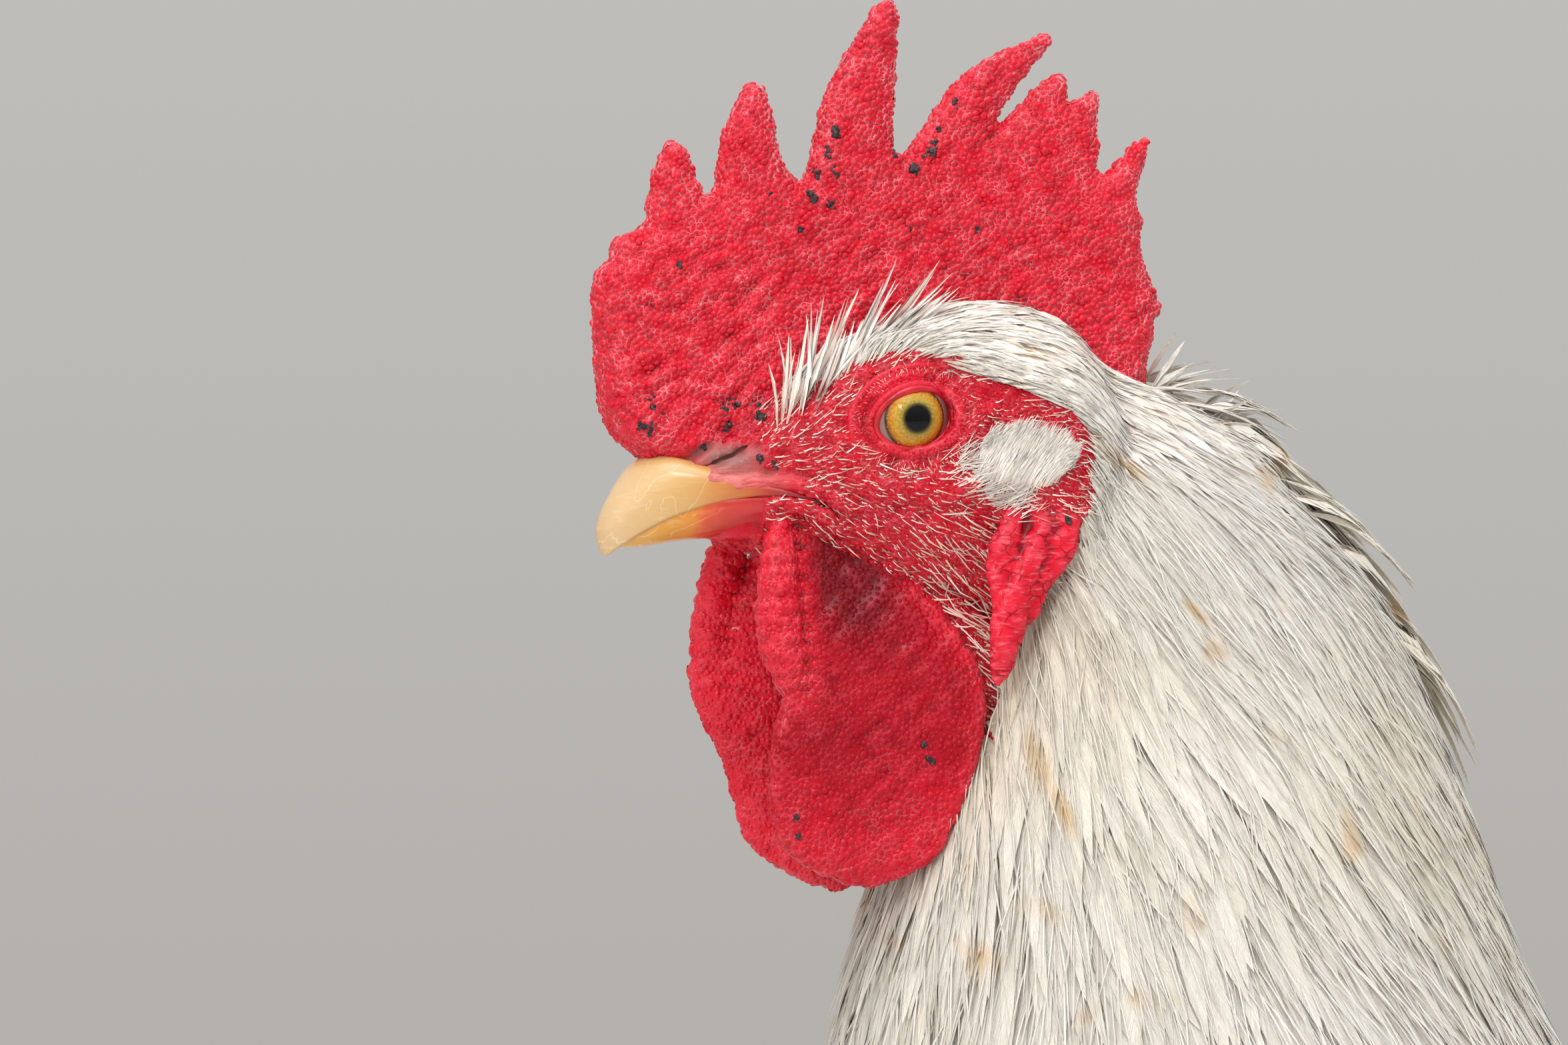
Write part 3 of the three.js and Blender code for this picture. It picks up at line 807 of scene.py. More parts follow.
def skin_relief(points, label):
    """How far each point of the bare skin is raised, in millimetres."""
    place = head_place(points)
    x, z = place[:, 0], place[:, 2]
    across_folds = z * math.cos(RIDGE_TILT) - x * math.sin(RIDGE_TILT)
    folds = np.sin(across_folds * 2 * math.pi / 3.7 + 2.2 * ripple(place, 12, 3)) * np.clip(
        0.55 + 0.6 * ripple(place, 11, 4), 0, 1,
    )
    folds *= np.interp(z, (-4, 3, 24, 42), (0.1, 0.4, 0.24, 0.05)) * np.interp(
        x, (-42, -34, 0, 30), (0.3, 1, 0.8, 0.35),
    )
    cobbles = ripple(place, 3.4, 5)
    level = np.sin(z * 2 * math.pi / 2.3 + 1.2 * ripple(place, 9, 7))
    out, round_eye = from_opening(points)
    lid = -0.42 * bell(out, 1.75, 0.3) - 0.4 * bell(out, 3.2, 0.35) * np.clip(
        np.sin(round_eye - 0.3) + 0.35, 0, 1,
    )
    lid += 0.06 * np.sin(round_eye * 34 + ripple(place, 4, 4)) * bell(out, 1.5, 1.4)
    raised = np.zeros(len(points))
    raised += np.where(label == "comb", 0.12 * cobbles + folds, 0)
    raised += np.where(label == "face", 0.14 * cobbles + 0.1 * ripple(place, 1.9, 8), 0)
    on_roll = (label == "wattle") & (x < -14) & (z > -40)
    raised += np.where(on_roll, 0.16 * level, 0)
    raised += np.where(label == "wattle", 0.16 * cobbles, 0)
    lobe = label == "lobe"
    raised[lobe] += 0.14 * cobbles[lobe] - 0.3 * creases(place[lobe], 3.4, 1.9, math.radians(20))
    return raised + np.where(np.isin(label, ("lid", "face")) & (out < 5), lid, 0)


SKIN_FACES = 196000  # how many triangles of the clay the finished skin keeps


def make_skin():
    skin = head_clay()
    boolean(skin, body_clay(), "UNION")
    for _, side in SIDES:
        boolean(skin, leg_clay(side), "UNION")
    place = bird(points_of(skin))
    raised = skin_relief(place, form_labels(place))
    move_points(skin, world(place + normals_of(skin) * raised[:, None]))
    apply_modifier(skin, "TRIANGULATE")
    apply_modifier(skin, "DECIMATE", ratio=SKIN_FACES / len(skin.data.polygons))
    skin.name = skin.data.name = "skin"
    return skin


skin = make_skin()

# ---- The ground that feathers and papillae grow from ----
SKIN_AT = bird(points_of(skin))
SKIN_UP = normals_of(skin)
SKIN_FACE = np.array([tuple(face.vertices) for face in skin.data.polygons])
SKIN_FORM = form_labels(SKIN_AT)
SKIN_TREE = BVHTree.FromPolygons(SKIN_AT.tolist(), SKIN_FACE.tolist())
FLUSH = {"comb": 0.72, "wattle": 0.3, "face": 0.5, "lid": 0.62, "lobe": 0.85}  # how bright the red is
SCURF = {"comb": 0.8, "wattle": 0.3, "face": 0.5, "lid": 0.2}  # how much pale scurf lies in the grooves


def smooth_skin(points):
    """The smooth skin over the nostril, over the beak's root and beside the chin."""
    x, z = flat_place(points)
    nostril = np.hypot((x + 26.0) / 6.5, (z + 6.2) / 2.6) < 1
    over_horn = (x < -15.5) & (z < -7.6) & (z > -11.8)
    chin = (x < -20.5) & (z < -11) & (z > -18.2)
    return nostril | over_horn | chin


def flush_and_shading_at(points, forms):
    """How bright the skin's red is: brighter on the wattles' rolls and rims, with painted shade deepest
    amid the wattles, a painted sheen low on their flaps, and painted light on the right wattle.
    """
    x, z = flat_place(points)
    flush_and_shading = np.array([FLUSH.get(form, 0.4) for form in forms])
    on_roll = np.clip((-12.5 - x) / 3, 0, 1) * np.clip((z + 46) / 8, 0, 1)
    # painted sheen: brighter red towards the bottom of the wattle's flap
    low = np.clip((-48 - z) / 14, 0, 1)
    # painted light: the right wattle, hanging before the left one, is made brighter
    lit = 0.3 * (points[:, 1] > 4)  # the right wattle hangs before the left one and is the brighter
    back_rim = np.clip(
        (x - np.interp(z, (-60, -50, -39, -29, -21), (5.6, 9.6, 11, 5, -2)) + 3) / 2.5, 0, 1,
    )
    # painted shade: darker red where the wattle sinks between the roll and the flap
    deep = -0.4 * bell(np.hypot((x + 8) / 9, (z + 24) / 8), 0, 1)  # sunk between the roll and the flap
    return flush_and_shading + np.where(
        forms == "wattle", 0.42 * on_roll + 0.3 * low + lit + 0.25 * back_rim + deep, 0,
    )


def scurf_at(points, forms):
    return np.array([SCURF.get(form, 0.0) for form in forms]) * ~smooth_skin(points)


def evened(values, rounds=5):
    """Point values of the skin, each round averaged with those of the neighbours."""
    edges = np.array([tuple(edge.vertices) for edge in skin.data.edges])
    for _ in range(rounds):
        total, count = values.copy(), np.ones(len(values))
        for a, b in ((0, 1), (1, 0)):
            np.add.at(total, edges[:, a], values[edges[:, b]])
            np.add.at(count, edges[:, a], 1)
        values = total / count
    return values


def set_values(mesh, name, values):
    mesh.attributes.new(name, "FLOAT", "POINT").data.foreach_set("value", values.astype(np.float32))


set_values(skin.data, "raised", skin_relief(SKIN_AT, SKIN_FORM))
set_values(skin.data, "flush_and_shading", evened(flush_and_shading_at(SKIN_AT, SKIN_FORM)))
set_values(skin.data, "scurf", evened(scurf_at(SKIN_AT, SKIN_FORM)))
set_values(skin.data, "lobed", evened((SKIN_FORM == "lobe").astype(float)))
EVEN_AT = np.stack([evened(SKIN_AT[:, axis], 8) for axis in range(3)], axis=1)
# how deep in a fold, in mm
set_values(skin.data, "hollow", evened(((EVEN_AT - SKIN_AT) * SKIN_UP).sum(axis=1), 2))
FACE_CORNER = SKIN_AT[SKIN_FACE]
FACE_MIDDLE = FACE_CORNER.mean(axis=1)
FACE_AREA = np.linalg.norm(
    np.cross(FACE_CORNER[:, 1] - FACE_CORNER[:, 0], FACE_CORNER[:, 2] - FACE_CORNER[:, 0]), axis=1,
) / 2
FACE_FORM = SKIN_FORM[SKIN_FACE[:, 0]]

# the feathers' edge over the eye, round the eye
BARE_LINE_X = (-17.0, -7.0, 0.0, 7.0, 14.5, 21.2, 24.5, 26.2, 26.8)
BARE_LINE_Z = (2.0, 7.9, 9.6, 8.3, 5.5, 3.0, 1.0, -2.5, -9.0)
BARE_BACK_X = (14, 26.5, 26.8, 26.2, 24.5)  # the same edge behind the eye and the earlobe
BARE_BACK_Z = (-37, -12, -9, -2, 1)


def past_bare(x, z):
    """How far each place round the eye lies over the edge of the bare face, and how far behind it."""
    return z - np.interp(x, BARE_LINE_X, BARE_LINE_Z), x - np.interp(z, BARE_BACK_Z, BARE_BACK_X)


def feathered(points):
    """Whether feathers grow at each point of the head and neck."""
    x, z = flat_place(points)
    over, behind = past_bare(x, z)
    return ((over > 0) & (x > -17) & (z > -9)) | (behind > 0)


def is_plumed(points, form):
    """Whether each point of the skin is under feathers."""
    head = np.isin(form, ("face", "lid"))
    neck = form == "neck"
    below = points[:, 2] - EYE_Z < -43
    return (head & feathered(points)) | (neck & (feathered(points) | below)) | np.isin(
        form, ("trunk", "wing", "thigh"),
    )


# the faces that a coat can lie over
COATED = np.flatnonzero(~np.isin(FACE_FORM, ("comb", "wattle", "lobe")))
COATED_TREE = BVHTree.FromPolygons(SKIN_AT.tolist(), SKIN_FACE[COATED].tolist())


def nearest_skin(points):
    """The nearest point on the skin that a coat can lie over, and the way the skin faces there."""
    spots, ups = np.empty_like(points), np.empty_like(points)
    for i, point in enumerate(points.tolist()):
        spot, _, face, _ = COATED_TREE.find_nearest(point)
        spots[i] = spot
        ups[i] = SKIN_UP[SKIN_FACE[COATED[face]]].sum(axis=0)
    return spots, unit(ups)


def thin_out(points, gaps):
    """Keeps points in order, leaving out each that is nearer than its gap to one already kept."""
    tree = KDTree(len(points))
    for i, point in enumerate(points.tolist()):
        tree.insert(point, i)
    tree.balance()
    free, kept = np.ones(len(points), bool), []
    for i, (point, gap) in enumerate(zip(points.tolist(), gaps.tolist())):
        if free[i]:
            kept.append(i)
            for _, near, _ in tree.find_range(point, gap):
                free[near] = False
    return np.array(kept)


TRIES = 5  # places tried for each root that there is room for


def sow(seed, where, gap):
    """Roots spread evenly, about gap apart, over the faces that the mask picks, and the way up at each."""
    rng = np.random.default_rng(seed)
    faces = np.flatnonzero(where(FACE_MIDDLE, FACE_FORM))
    gaps = gap(FACE_MIDDLE[faces]) if callable(gap) else np.full(len(faces), float(gap))
    weight = FACE_AREA[faces] / gaps**2
    pick = rng.choice(len(faces), int(weight.sum() * TRIES), p=weight / weight.sum())
    a, b = rng.random((2, len(pick)))
    a, b = np.where(a + b > 1, 1 - a, a), np.where(a + b > 1, 1 - b, b)
    corner = FACE_CORNER[faces[pick]]
    roots = corner[:, 0] + a[:, None] * (
        corner[:, 1] - corner[:, 0]
    ) + b[:, None] * (corner[:, 2] - corner[:, 0])
    kept = thin_out(roots, gaps[pick])
    return roots[kept], unit(SKIN_UP[SKIN_FACE[faces[pick[kept]]]].sum(axis=1))


# ---- The lie of the coat: at each place, the way the feathers point. Both sides mirror it ----
LIE = np.array([
    (-166, 4, 560, -0.1, 0, 1), (-160, 5, 566, 0.25, 0.05, 1), (-154, 5, 569, 0.7, 0.1, 0.5),
    (-146, 5, 572, 1, 0.1, 0), (-132, 6, 571, 1, 0.1, -0.15), (-120, 7, 568, 1, 0.1, -0.35),
    (-110, 5, 563, 1, 0, -0.5), (-136, 14, 562, 1, 0.1, -0.3), (-124, 15, 556, 0.9, 0.1, -0.5),
    (-122, 15, 540, 0.55, 0.1, -0.85), (-112, 16, 550, 0.75, 0, -0.7), (-85, 3, 535, 0.55, 0, -0.85),
    (-95, 18, 525, 0.5, 0.1, -0.85), (-60, 5, 490, 0.42, 0, -0.9), (-70, 20, 500, 0.45, 0, -0.9),
    (-125, 20, 515, 0.22, 0.1, -0.95), (-135, 18, 500, 0.05, 0.05, -1),
    (-115, 30, 500, 0.3, 0.1, -0.93),
    (-140, 25, 470, 0, 0.1, -1), (-115, 40, 470, 0.25, 0.15, -0.95), (-85, 38, 470, 0.42, 0.1, -0.9),
    (-30, 5, 430, 0.6, 0, -0.8), (-50, 45, 420, 0.55, 0.15, -0.8), (-100, 60, 400, 0.35, 0.12, -0.93),
    (-155, 8, 510, -0.05, 0, -1), (-160, 8, 480, -0.1, 0.05, -1), (-168, 10, 420, -0.1, 0, -1),
    (-165, 20, 330, 0.35, 0.1, -0.93), (-150, 55, 340, 0.5, 0.3, -0.8),
    (-140, 20, 260, 0.85, 0.1, -0.45),
    (-60, 20, 205, 1, 0, 0), (-110, 60, 260, 0.9, 0.1, -0.4), (-60, 85, 300, 1, 0, -0.25),
    (-100, 78, 345, 0.9, 0, -0.4), (-60, 90, 335, 1, 0, -0.25), (0, 95, 330, 1, 0, -0.12),
    (80, 80, 320, 1, 0, -0.05), (-20, 5, 400, 1, 0, 0.02), (40, 40, 395, 1, 0.1, -0.25),
    (100, 10, 405, 1, 0.15, 0.1), (110, 45, 380, 0.9, 0.1, -0.45), (150, 15, 310, 0.8, 0.1, 0.5),
    (150, 20, 350, 0.8, 0.2, 0.3), (110, 60, 330, 0.9, 0.1, -0.35), (60, 20, 225, 1, 0, 0.15),
    (-10, 75, 260, 0.35, 0, -1), (-50, 60, 235, 0.3, 0.1, -1), (45, 60, 230, 0.4, 0, -1),
    (20, 60, 180, 0.35, 0, -0.94), (38, 50, 145, 0, 0, -1), (38, 60, 135, 0, 0, -1),
], float)


def lie(points):
    """The way the feathers point at each place, mostly that of the nearest rows of the table."""
    side = np.where(points[:, 1:2] < 0, -1.0, 1.0)
    flat = np.abs(points * (0, 1, 0)) + points * (1, 0, 1)
    apart = ((flat[:, None] - LIE[None, :, :3]) ** 2).sum(axis=2)
    way = (1 / (apart + 30.0) ** 2) @ unit(LIE[:, 3:])
    return unit(way * np.hstack([np.ones_like(side), side, np.ones_like(side)]))


STEPS = 6  # stretches of a feather's spine
WANDER, LOOSE = 0.1, 0.08  # how far feathers stray from the lie, in locks and one by one


def lay(roots, ups, lengths, low, high, way=lie):
    """Spines that follow the skin from their roots, rising from low at the root to high at the tip."""
    spot, up = roots.copy(), ups.copy()
    across = np.cross(way(spot), up)
    sway = across * (WANDER * ripple(roots, 26, 5) + LOOSE * ripple(roots, 2.5, 6))[:, None]
    spines, facing = [spot + up * low[:, None]], [up]
    for step in range(1, STEPS + 1):
        ahead = way(spot) + sway
        ahead = unit(ahead - (ahead * up).sum(axis=1, keepdims=True) * up)
        spot, fresh = nearest_skin(spot + ahead * (lengths / STEPS)[:, None])
        up = unit(fresh + up)
        rise = low + (high - low) * (step / STEPS) ** 0.5  # they leave the skin fast, then lie along it
        spines.append(spot + up * rise[:, None])
        facing.append(up)
    spines, facing = np.stack(spines, axis=1), np.stack(facing, axis=1)
    spines[:, 1:-1] = (spines[:, :-2] + 2 * spines[:, 1:-1] + spines[:, 2:]) / 4
    return spines, facing


# ---- Feather shapes: across from -1 to 1, along from 0 to 1, lift, and the root of the barb there ----
def vane_width(along, peak, tip):
    """The vane's half width, as a share: it swells to the peak and closes towards the tip."""
    opening = np.clip(along / peak, 0.02, 1) ** 0.55
    closing = 1 - np.clip((along - peak) / (1 - peak), 0, 1) ** tip
    return opening * np.maximum(closing, 0.0) ** 0.75


def vane(seed, rows, barbs, lean, peak, tip, ragged=0.15, camber=0.25, blade=0.85, shaft=0.0):
    """A cambered blade whose barbs come free along its edges. lean is how far a barb's tip lies ahead."""
    rng = np.random.default_rng(seed)
    points, faces = [], []
    columns = (-1, -0.5, 0, 0.5, 1)
    for row in range(rows):
        along = math.sin(math.pi / 2 * row / rows)  # rows crowd towards the tip, to round it
        wide = float(vane_width(np.array(along), peak, tip)) * blade * (1 - ragged * rng.random(2))
        for column in columns:
            across = column * wide[int(column > 0)]
            points.append((across, along, -camber * across**2, along - lean * abs(across)))
    points.append((0.0, 1.0, 0.0, 0.9))
    for row in range(rows - 1):
        for corner in range(4):
            a = 5 * row + corner
            faces += [(a, a + 1, a + 6), (a, a + 6, a + 5)]
    faces += [(5 * rows - 5 + corner, 5 * rows - 4 + corner, 5 * rows) for corner in range(4)]
    half_gap = 0.46 / barbs
    for side in (-1, 1):
        for i in range(barbs):
            root = 0.94 * (i + rng.uniform(0.2, 0.8)) / barbs
            end = min(
                root + lean * (1 - 0.5 * root) * rng.uniform(0.8, 1.25),
                1 - 0.3 * (1 - root) * rng.uniform(0.1, 1),
            )
            reach = max(
                float(vane_width(np.array(end), peak, tip)) * rng.uniform(1 - ragged, 1.12), 0.04,
            )
            inner = min(float(vane_width(np.array(root), peak, tip)) * blade, reach) * 0.55
            sink, drop = 0.03 - camber * inner**2, 0.03 - camber * reach**2 + 0.05 * rng.normal()
            first = len(points)
            points += [
                (side * inner, root - half_gap, sink, root),
                (side * inner, root + half_gap, sink, root),
            ]
            points.append((side * reach, end, drop, root))
            faces.append((first, first + 2, first + 1) if side > 0 else (first, first + 1, first + 2))
    if shaft:
        first = len(points)
        for row in range(rows + 1):
            along = 0.97 * row / rows
            half = shaft * (1 - 0.75 * along)
            points += [
                (-half, along, 0.02, 0.0), (0, along, 0.02 + half, 0.0), (half, along, 0.02, 0.0),
            ]
        for row in range(rows):
            for corner in (0, 1):
                a = first + 3 * row + corner
                faces += [(a, a + 1, a + 4), (a, a + 4, a + 3)]
    return np.array(points), np.array(faces)


def hair(taper=0.6, joints=2):
    """A bristle with three sides."""
    points, faces = [], []
    for ring in range(joints):
        wide = 1 + (taper - 1) * ring / max(joints - 1, 1)
        for turn in (0, 2.094, 4.189):
            points.append((wide * math.cos(turn), ring / joints, wide * math.sin(turn), 0.0))
    points.append((0.0, 1.0, 0.0, 0.0))
    for ring in range(joints):
        first = 3 * ring
        for a, b in ((0, 1), (1, 2), (2, 0)):
            if ring < joints - 1:
                faces += [
                    (first + a, first + 3 + b, first + b), (first + a, first + 3 + a, first + 3 + b),
                ]
            else:
                faces.append((first + a, 3 * joints, first + b))
    return np.array(points), np.array(faces)


def dome(sides=5):
    """A papilla: across and along are both sideways here, and lift is its height."""
    points = []
    for wide, high in ((1.0, -0.35), (0.72, 0.62)):
        for i in range(sides):
            turn = 2 * math.pi * i / sides
            points.append((wide * math.cos(turn), wide * math.sin(turn), high))
    points.append((0.0, 0.0, 1.0))
    faces = []
    for i in range(sides):
        j = (i + 1) % sides
        faces += [(i, j, sides + j), (i, sides + j, sides + i), (sides + i, sides + j, 2 * sides)]
    return np.array(points), np.array(faces)


# ---- Making pieces of many small things ----
PATCH = 0.003  # the size of each small thing's own patch on the baking map


def unwrap(roots):
    """Where each root lies on the skin unrolled round the piece's longest way, within 0 to 1."""
    middle = roots.mean(axis=0)
    _, _, axes = np.linalg.svd(roots[:: max(1, len(roots) // 4000)] - middle, full_matrices=False)
    along, out, over = ((roots - middle) @ axis for axis in axes)
    turn = np.arctan2(over, out) / (2 * math.pi) + 0.5
    run = (along - along.min()) / max(np.ptp(along), 1e-6)
    return np.stack([turn, run], axis=1) * (1 - PATCH)


def build(name, points, faces, maps=None, values=None):
    """A piece from arrays, with its baking map and its point values."""
    mesh = bpy.data.meshes.new(name)
    mesh.vertices.add(len(points))
    mesh.vertices.foreach_set("co", world(points).ravel())
    mesh.loops.add(faces.size)
    mesh.loops.foreach_set("vertex_index", faces.ravel().astype(np.int32))
    mesh.polygons.add(len(faces))
    mesh.polygons.foreach_set("loop_start", np.arange(0, faces.size, 3, dtype=np.int32))
    if maps is not None:
        layer = mesh.uv_layers.new(name="OFBake")
        layer.data.foreach_set("uv", maps[faces.ravel()].astype(np.float32).ravel())
    for value_name, row in (values or {}).items():
        set_values(mesh, value_name, row)
    mesh.update()
    mesh.shade_smooth()
    piece = bpy.data.objects.new(name, mesh)
    bpy.context.scene.collection.objects.link(piece)
    return piece


def finish_piece(piece, material):
    piece.data.materials.clear()
    piece.data.materials.append(material)
    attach(piece, "root")
    return piece


def lean_normals(piece, facing, share):
    """Turns the shading of fine barbs towards the way the whole coat faces, so that it looks soft."""
    own = normals_of(piece)
    own *= np.where((own * facing).sum(axis=1, keepdims=True) < 0, -1, 1)
    piece.data.normals_split_custom_set_from_vertices(unit(facing * share + own * (1 - share)).tolist())


def plant(name, seed, spines, facing, half_width, shapes, roll=0.1, soft=0.6):
    """Sets one of the shapes along each spine, and joins them all into one piece."""
    rng = np.random.default_rng(seed)
    count = len(spines)
    ahead = unit(np.gradient(spines, axis=1))
    facing = unit(facing - (facing * ahead).sum(axis=2, keepdims=True) * ahead)
    side = np.cross(ahead, facing)
    turn = rng.normal(0, roll, count)[:, None, None]
    cosine, sine = np.cos(turn), np.sin(turn)
    side, facing = side * cosine + facing * sine, facing * cosine - side * sine
    which = rng.integers(0, len(shapes), count)
    tint = rng.random(count)
    place_on_map = unwrap(spines[:, 0])
    lengths = np.linalg.norm(np.diff(spines, axis=1), axis=2).sum(axis=1)
    parts, faces, maps, outwards, first = [], [], [], [], 0
    values = {"tint": [], "along": [], "across": [], "barb": []}
    for i, (shape, shape_faces) in enumerate(shapes):
        mine = np.flatnonzero(which == i)
        if not len(mine):
            continue
        share = smooth_row(np.eye(spines.shape[1]), shape[:, 1])
        wide = half_width[mine][:, None, None]
        spot = np.einsum("vs,msk->mvk", share, spines[mine])
        spot += np.einsum("vs,msk->mvk", share, side[mine]) * shape[None, :, :1] * wide
        spot += np.einsum("vs,msk->mvk", share, facing[mine]) * shape[None, :, 2:3] * wide
        parts.append(spot.reshape(-1, 3))
        outwards.append(np.einsum("vs,msk->mvk", share, facing[mine]).reshape(-1, 3))
        starts = first + np.arange(len(mine)) * len(shape)
        faces.append((starts[:, None, None] + shape_faces[None]).reshape(-1, 3))
        inside = np.stack([(shape[:, 0] + 1) / 2, shape[:, 1]], axis=1) * PATCH
        maps.append((place_on_map[mine][:, None] + inside[None]).reshape(-1, 2))
        values["tint"].append(np.repeat(tint[mine], len(shape)))
        values["along"].append(np.tile(shape[:, 1], len(mine)))
        values["across"].append(np.tile(shape[:, 0], len(mine)))
        values["barb"].append((shape[None, :, 3] * lengths[mine][:, None]).ravel())
        first += len(mine) * len(shape)
    values = {value_name: np.concatenate(rows) for value_name, rows in values.items()}
    piece = build(name, np.vstack(parts), np.vstack(faces), np.vstack(maps), values)
    lean_normals(piece, unit(np.vstack(outwards)), soft)
    return piece


def stud(name, seed, roots, ups, radius, height, longer=(0.85, 1.4), way=None, values=None):
    """Sets a papilla at each root, longer than wide, along the given ways if there are any."""
    rng = np.random.default_rng(seed)
    shape, shape_faces = dome()
    count = len(roots)
    ways = rng.normal(
        size=(count, 3)
    ) if way is None else way(roots) + 0.25 * rng.normal(size=(count, 3))
    out = unit(ways - (ways * ups).sum(axis=1, keepdims=True) * ups)
    over = np.cross(ups, out)
    size, tall = radius[:, None, None], height[:, None, None]
    stretch = rng.uniform(*longer, count)[:, None, None] ** 0.5
    spot = roots[:, None] + out[:, None] * shape[None, :, :1] * size * stretch
    spot = spot + over[:, None] * shape[None, :, 1:2] * size / stretch
    spot = spot + ups[:, None] * shape[None, :, 2:] * tall
    faces = (np.arange(count)[:, None, None] * len(shape) + shape_faces[None]).reshape(-1, 3)
    inside = (shape[:, :2] + 1) / 2 * PATCH
    maps = (unwrap(roots)[:, None] + inside[None]).reshape(-1, 2)
    rows = {"tint": np.repeat(rng.random(count), len(shape)), "lift": np.tile(shape[:, 2], count)}
    for value_name, value in (values or {}).items():
        rows[value_name] = np.repeat(value, len(shape))
    return build(name, spot.reshape(-1, 3), faces, maps, rows)


# ---- Materials ----
def colour(hex_value):
    """An sRGB hex value as the linear colour that shaders take."""
    parts = [int(hex_value[i : i + 2], 16) / 255 for i in (1, 3, 5)]
    return tuple(c / 12.92 if c <= 0.04045 else ((c + 0.055) / 1.055) ** 2.4 for c in parts) + (1.0,)


def new_material(name):
    """A material, what adds nodes to it, and its shader."""
    material = bpy.data.materials.new(name)
    material.use_nodes = True
    tree = material.node_tree
    return material, partial(add_node, tree), tree.nodes["Principled BSDF"]


# of each kind of node: the inputs that are given by place, and the output that is passed on
SOCKETS = {
    "Attribute": ((), "Fac"),
    "Bump": (("Height", "Distance"), "Normal"),
    "CombineXYZ": (("X", "Y", "Z"), "Vector"),
    "MapRange": ((0, 1, 2, 3, 4), "Result"),
    "Mapping": ((0, 1, 2, 3), "Vector"),
    "Math": ((0, 1, 2), "Value"),
    "Mix": ((0, 6, 7), 2),
    "SeparateXYZ": ((0,), "Z"),
    "TexCoord": ((), "Object"),
    "TexNoise": (("Vector", "Scale", "Detail", "Distortion"), "Fac"),
    "TexVoronoi": (("Vector", "Scale"), "Distance"),
    "ValToRGB": ((0,), "Color"),
    "VectorMath": ((0, 1, 2), "Vector"),
}


def add_node(tree, kind, *inputs, output=None, stops=(), **settings):
    """Adds a node and gives its output. An input is a value, a node's output, or None for its default."""
    sockets, usual = SOCKETS[kind]
    node = tree.nodes.new(f"ShaderNode{kind}")
    if kind == "Mix":
        node.data_type = "RGBA"
    for name, value in settings.items():
        setattr(node, name, value)
    for socket, value in zip(sockets, inputs):
        if isinstance(value, bpy.types.NodeSocket):
            tree.links.new(value, node.inputs[socket])
        elif value is not None:
            node.inputs[socket].default_value = value
    for number, (place, tone) in enumerate(stops):
        row = node.color_ramp.elements
        element = row[number] if number < len(row) else row.new(place)
        element.position = place
        element.color = colour(tone)
    return node.outputs[usual if output is None else output]


def set_shader(shader, **inputs):
    for name, value in inputs.items():
        socket = shader.inputs[name.replace("_", " ")]
        if isinstance(value, bpy.types.NodeSocket):
            shader.id_data.links.new(value, socket)
        else:
            socket.default_value = value


def per_metre(size_mm):
    """The texture scale at which one feature is about this many millimetres wide."""
    return 1 / (size_mm * MM)


def red_of_skin(add, place):
    """The blood under the skin, with the painted shade and light that the wattles carry: from the deep red
    of wattles to the bright red of lids and lobes.
    """
    flush_and_shading = add("Attribute", attribute_name="flush_and_shading")
    drift = add(
        "Math", add("TexNoise", place, per_metre(13), 3.0), 0.5, -0.25, operation="MULTIPLY_ADD",
    )
    moved = add("Math", flush_and_shading, drift, operation="ADD")
    return add(
        "ValToRGB", moved,
        stops=[
            (0.0, "#74000e"), (0.1, "#930014"), (0.3, "#ae001b"), (0.5, "#c80322"), (0.75, "#dc0829"),
            (1.0, "#ea1432"),
        ],
    )


def scurf_patches(add, place):
    """Where pale scurf has gathered: uneven patches of about 3 mm, broken up more finely."""
    return add("MapRange", add("TexNoise", place, per_metre(3.2), 4.0), 0.36, 0.62)


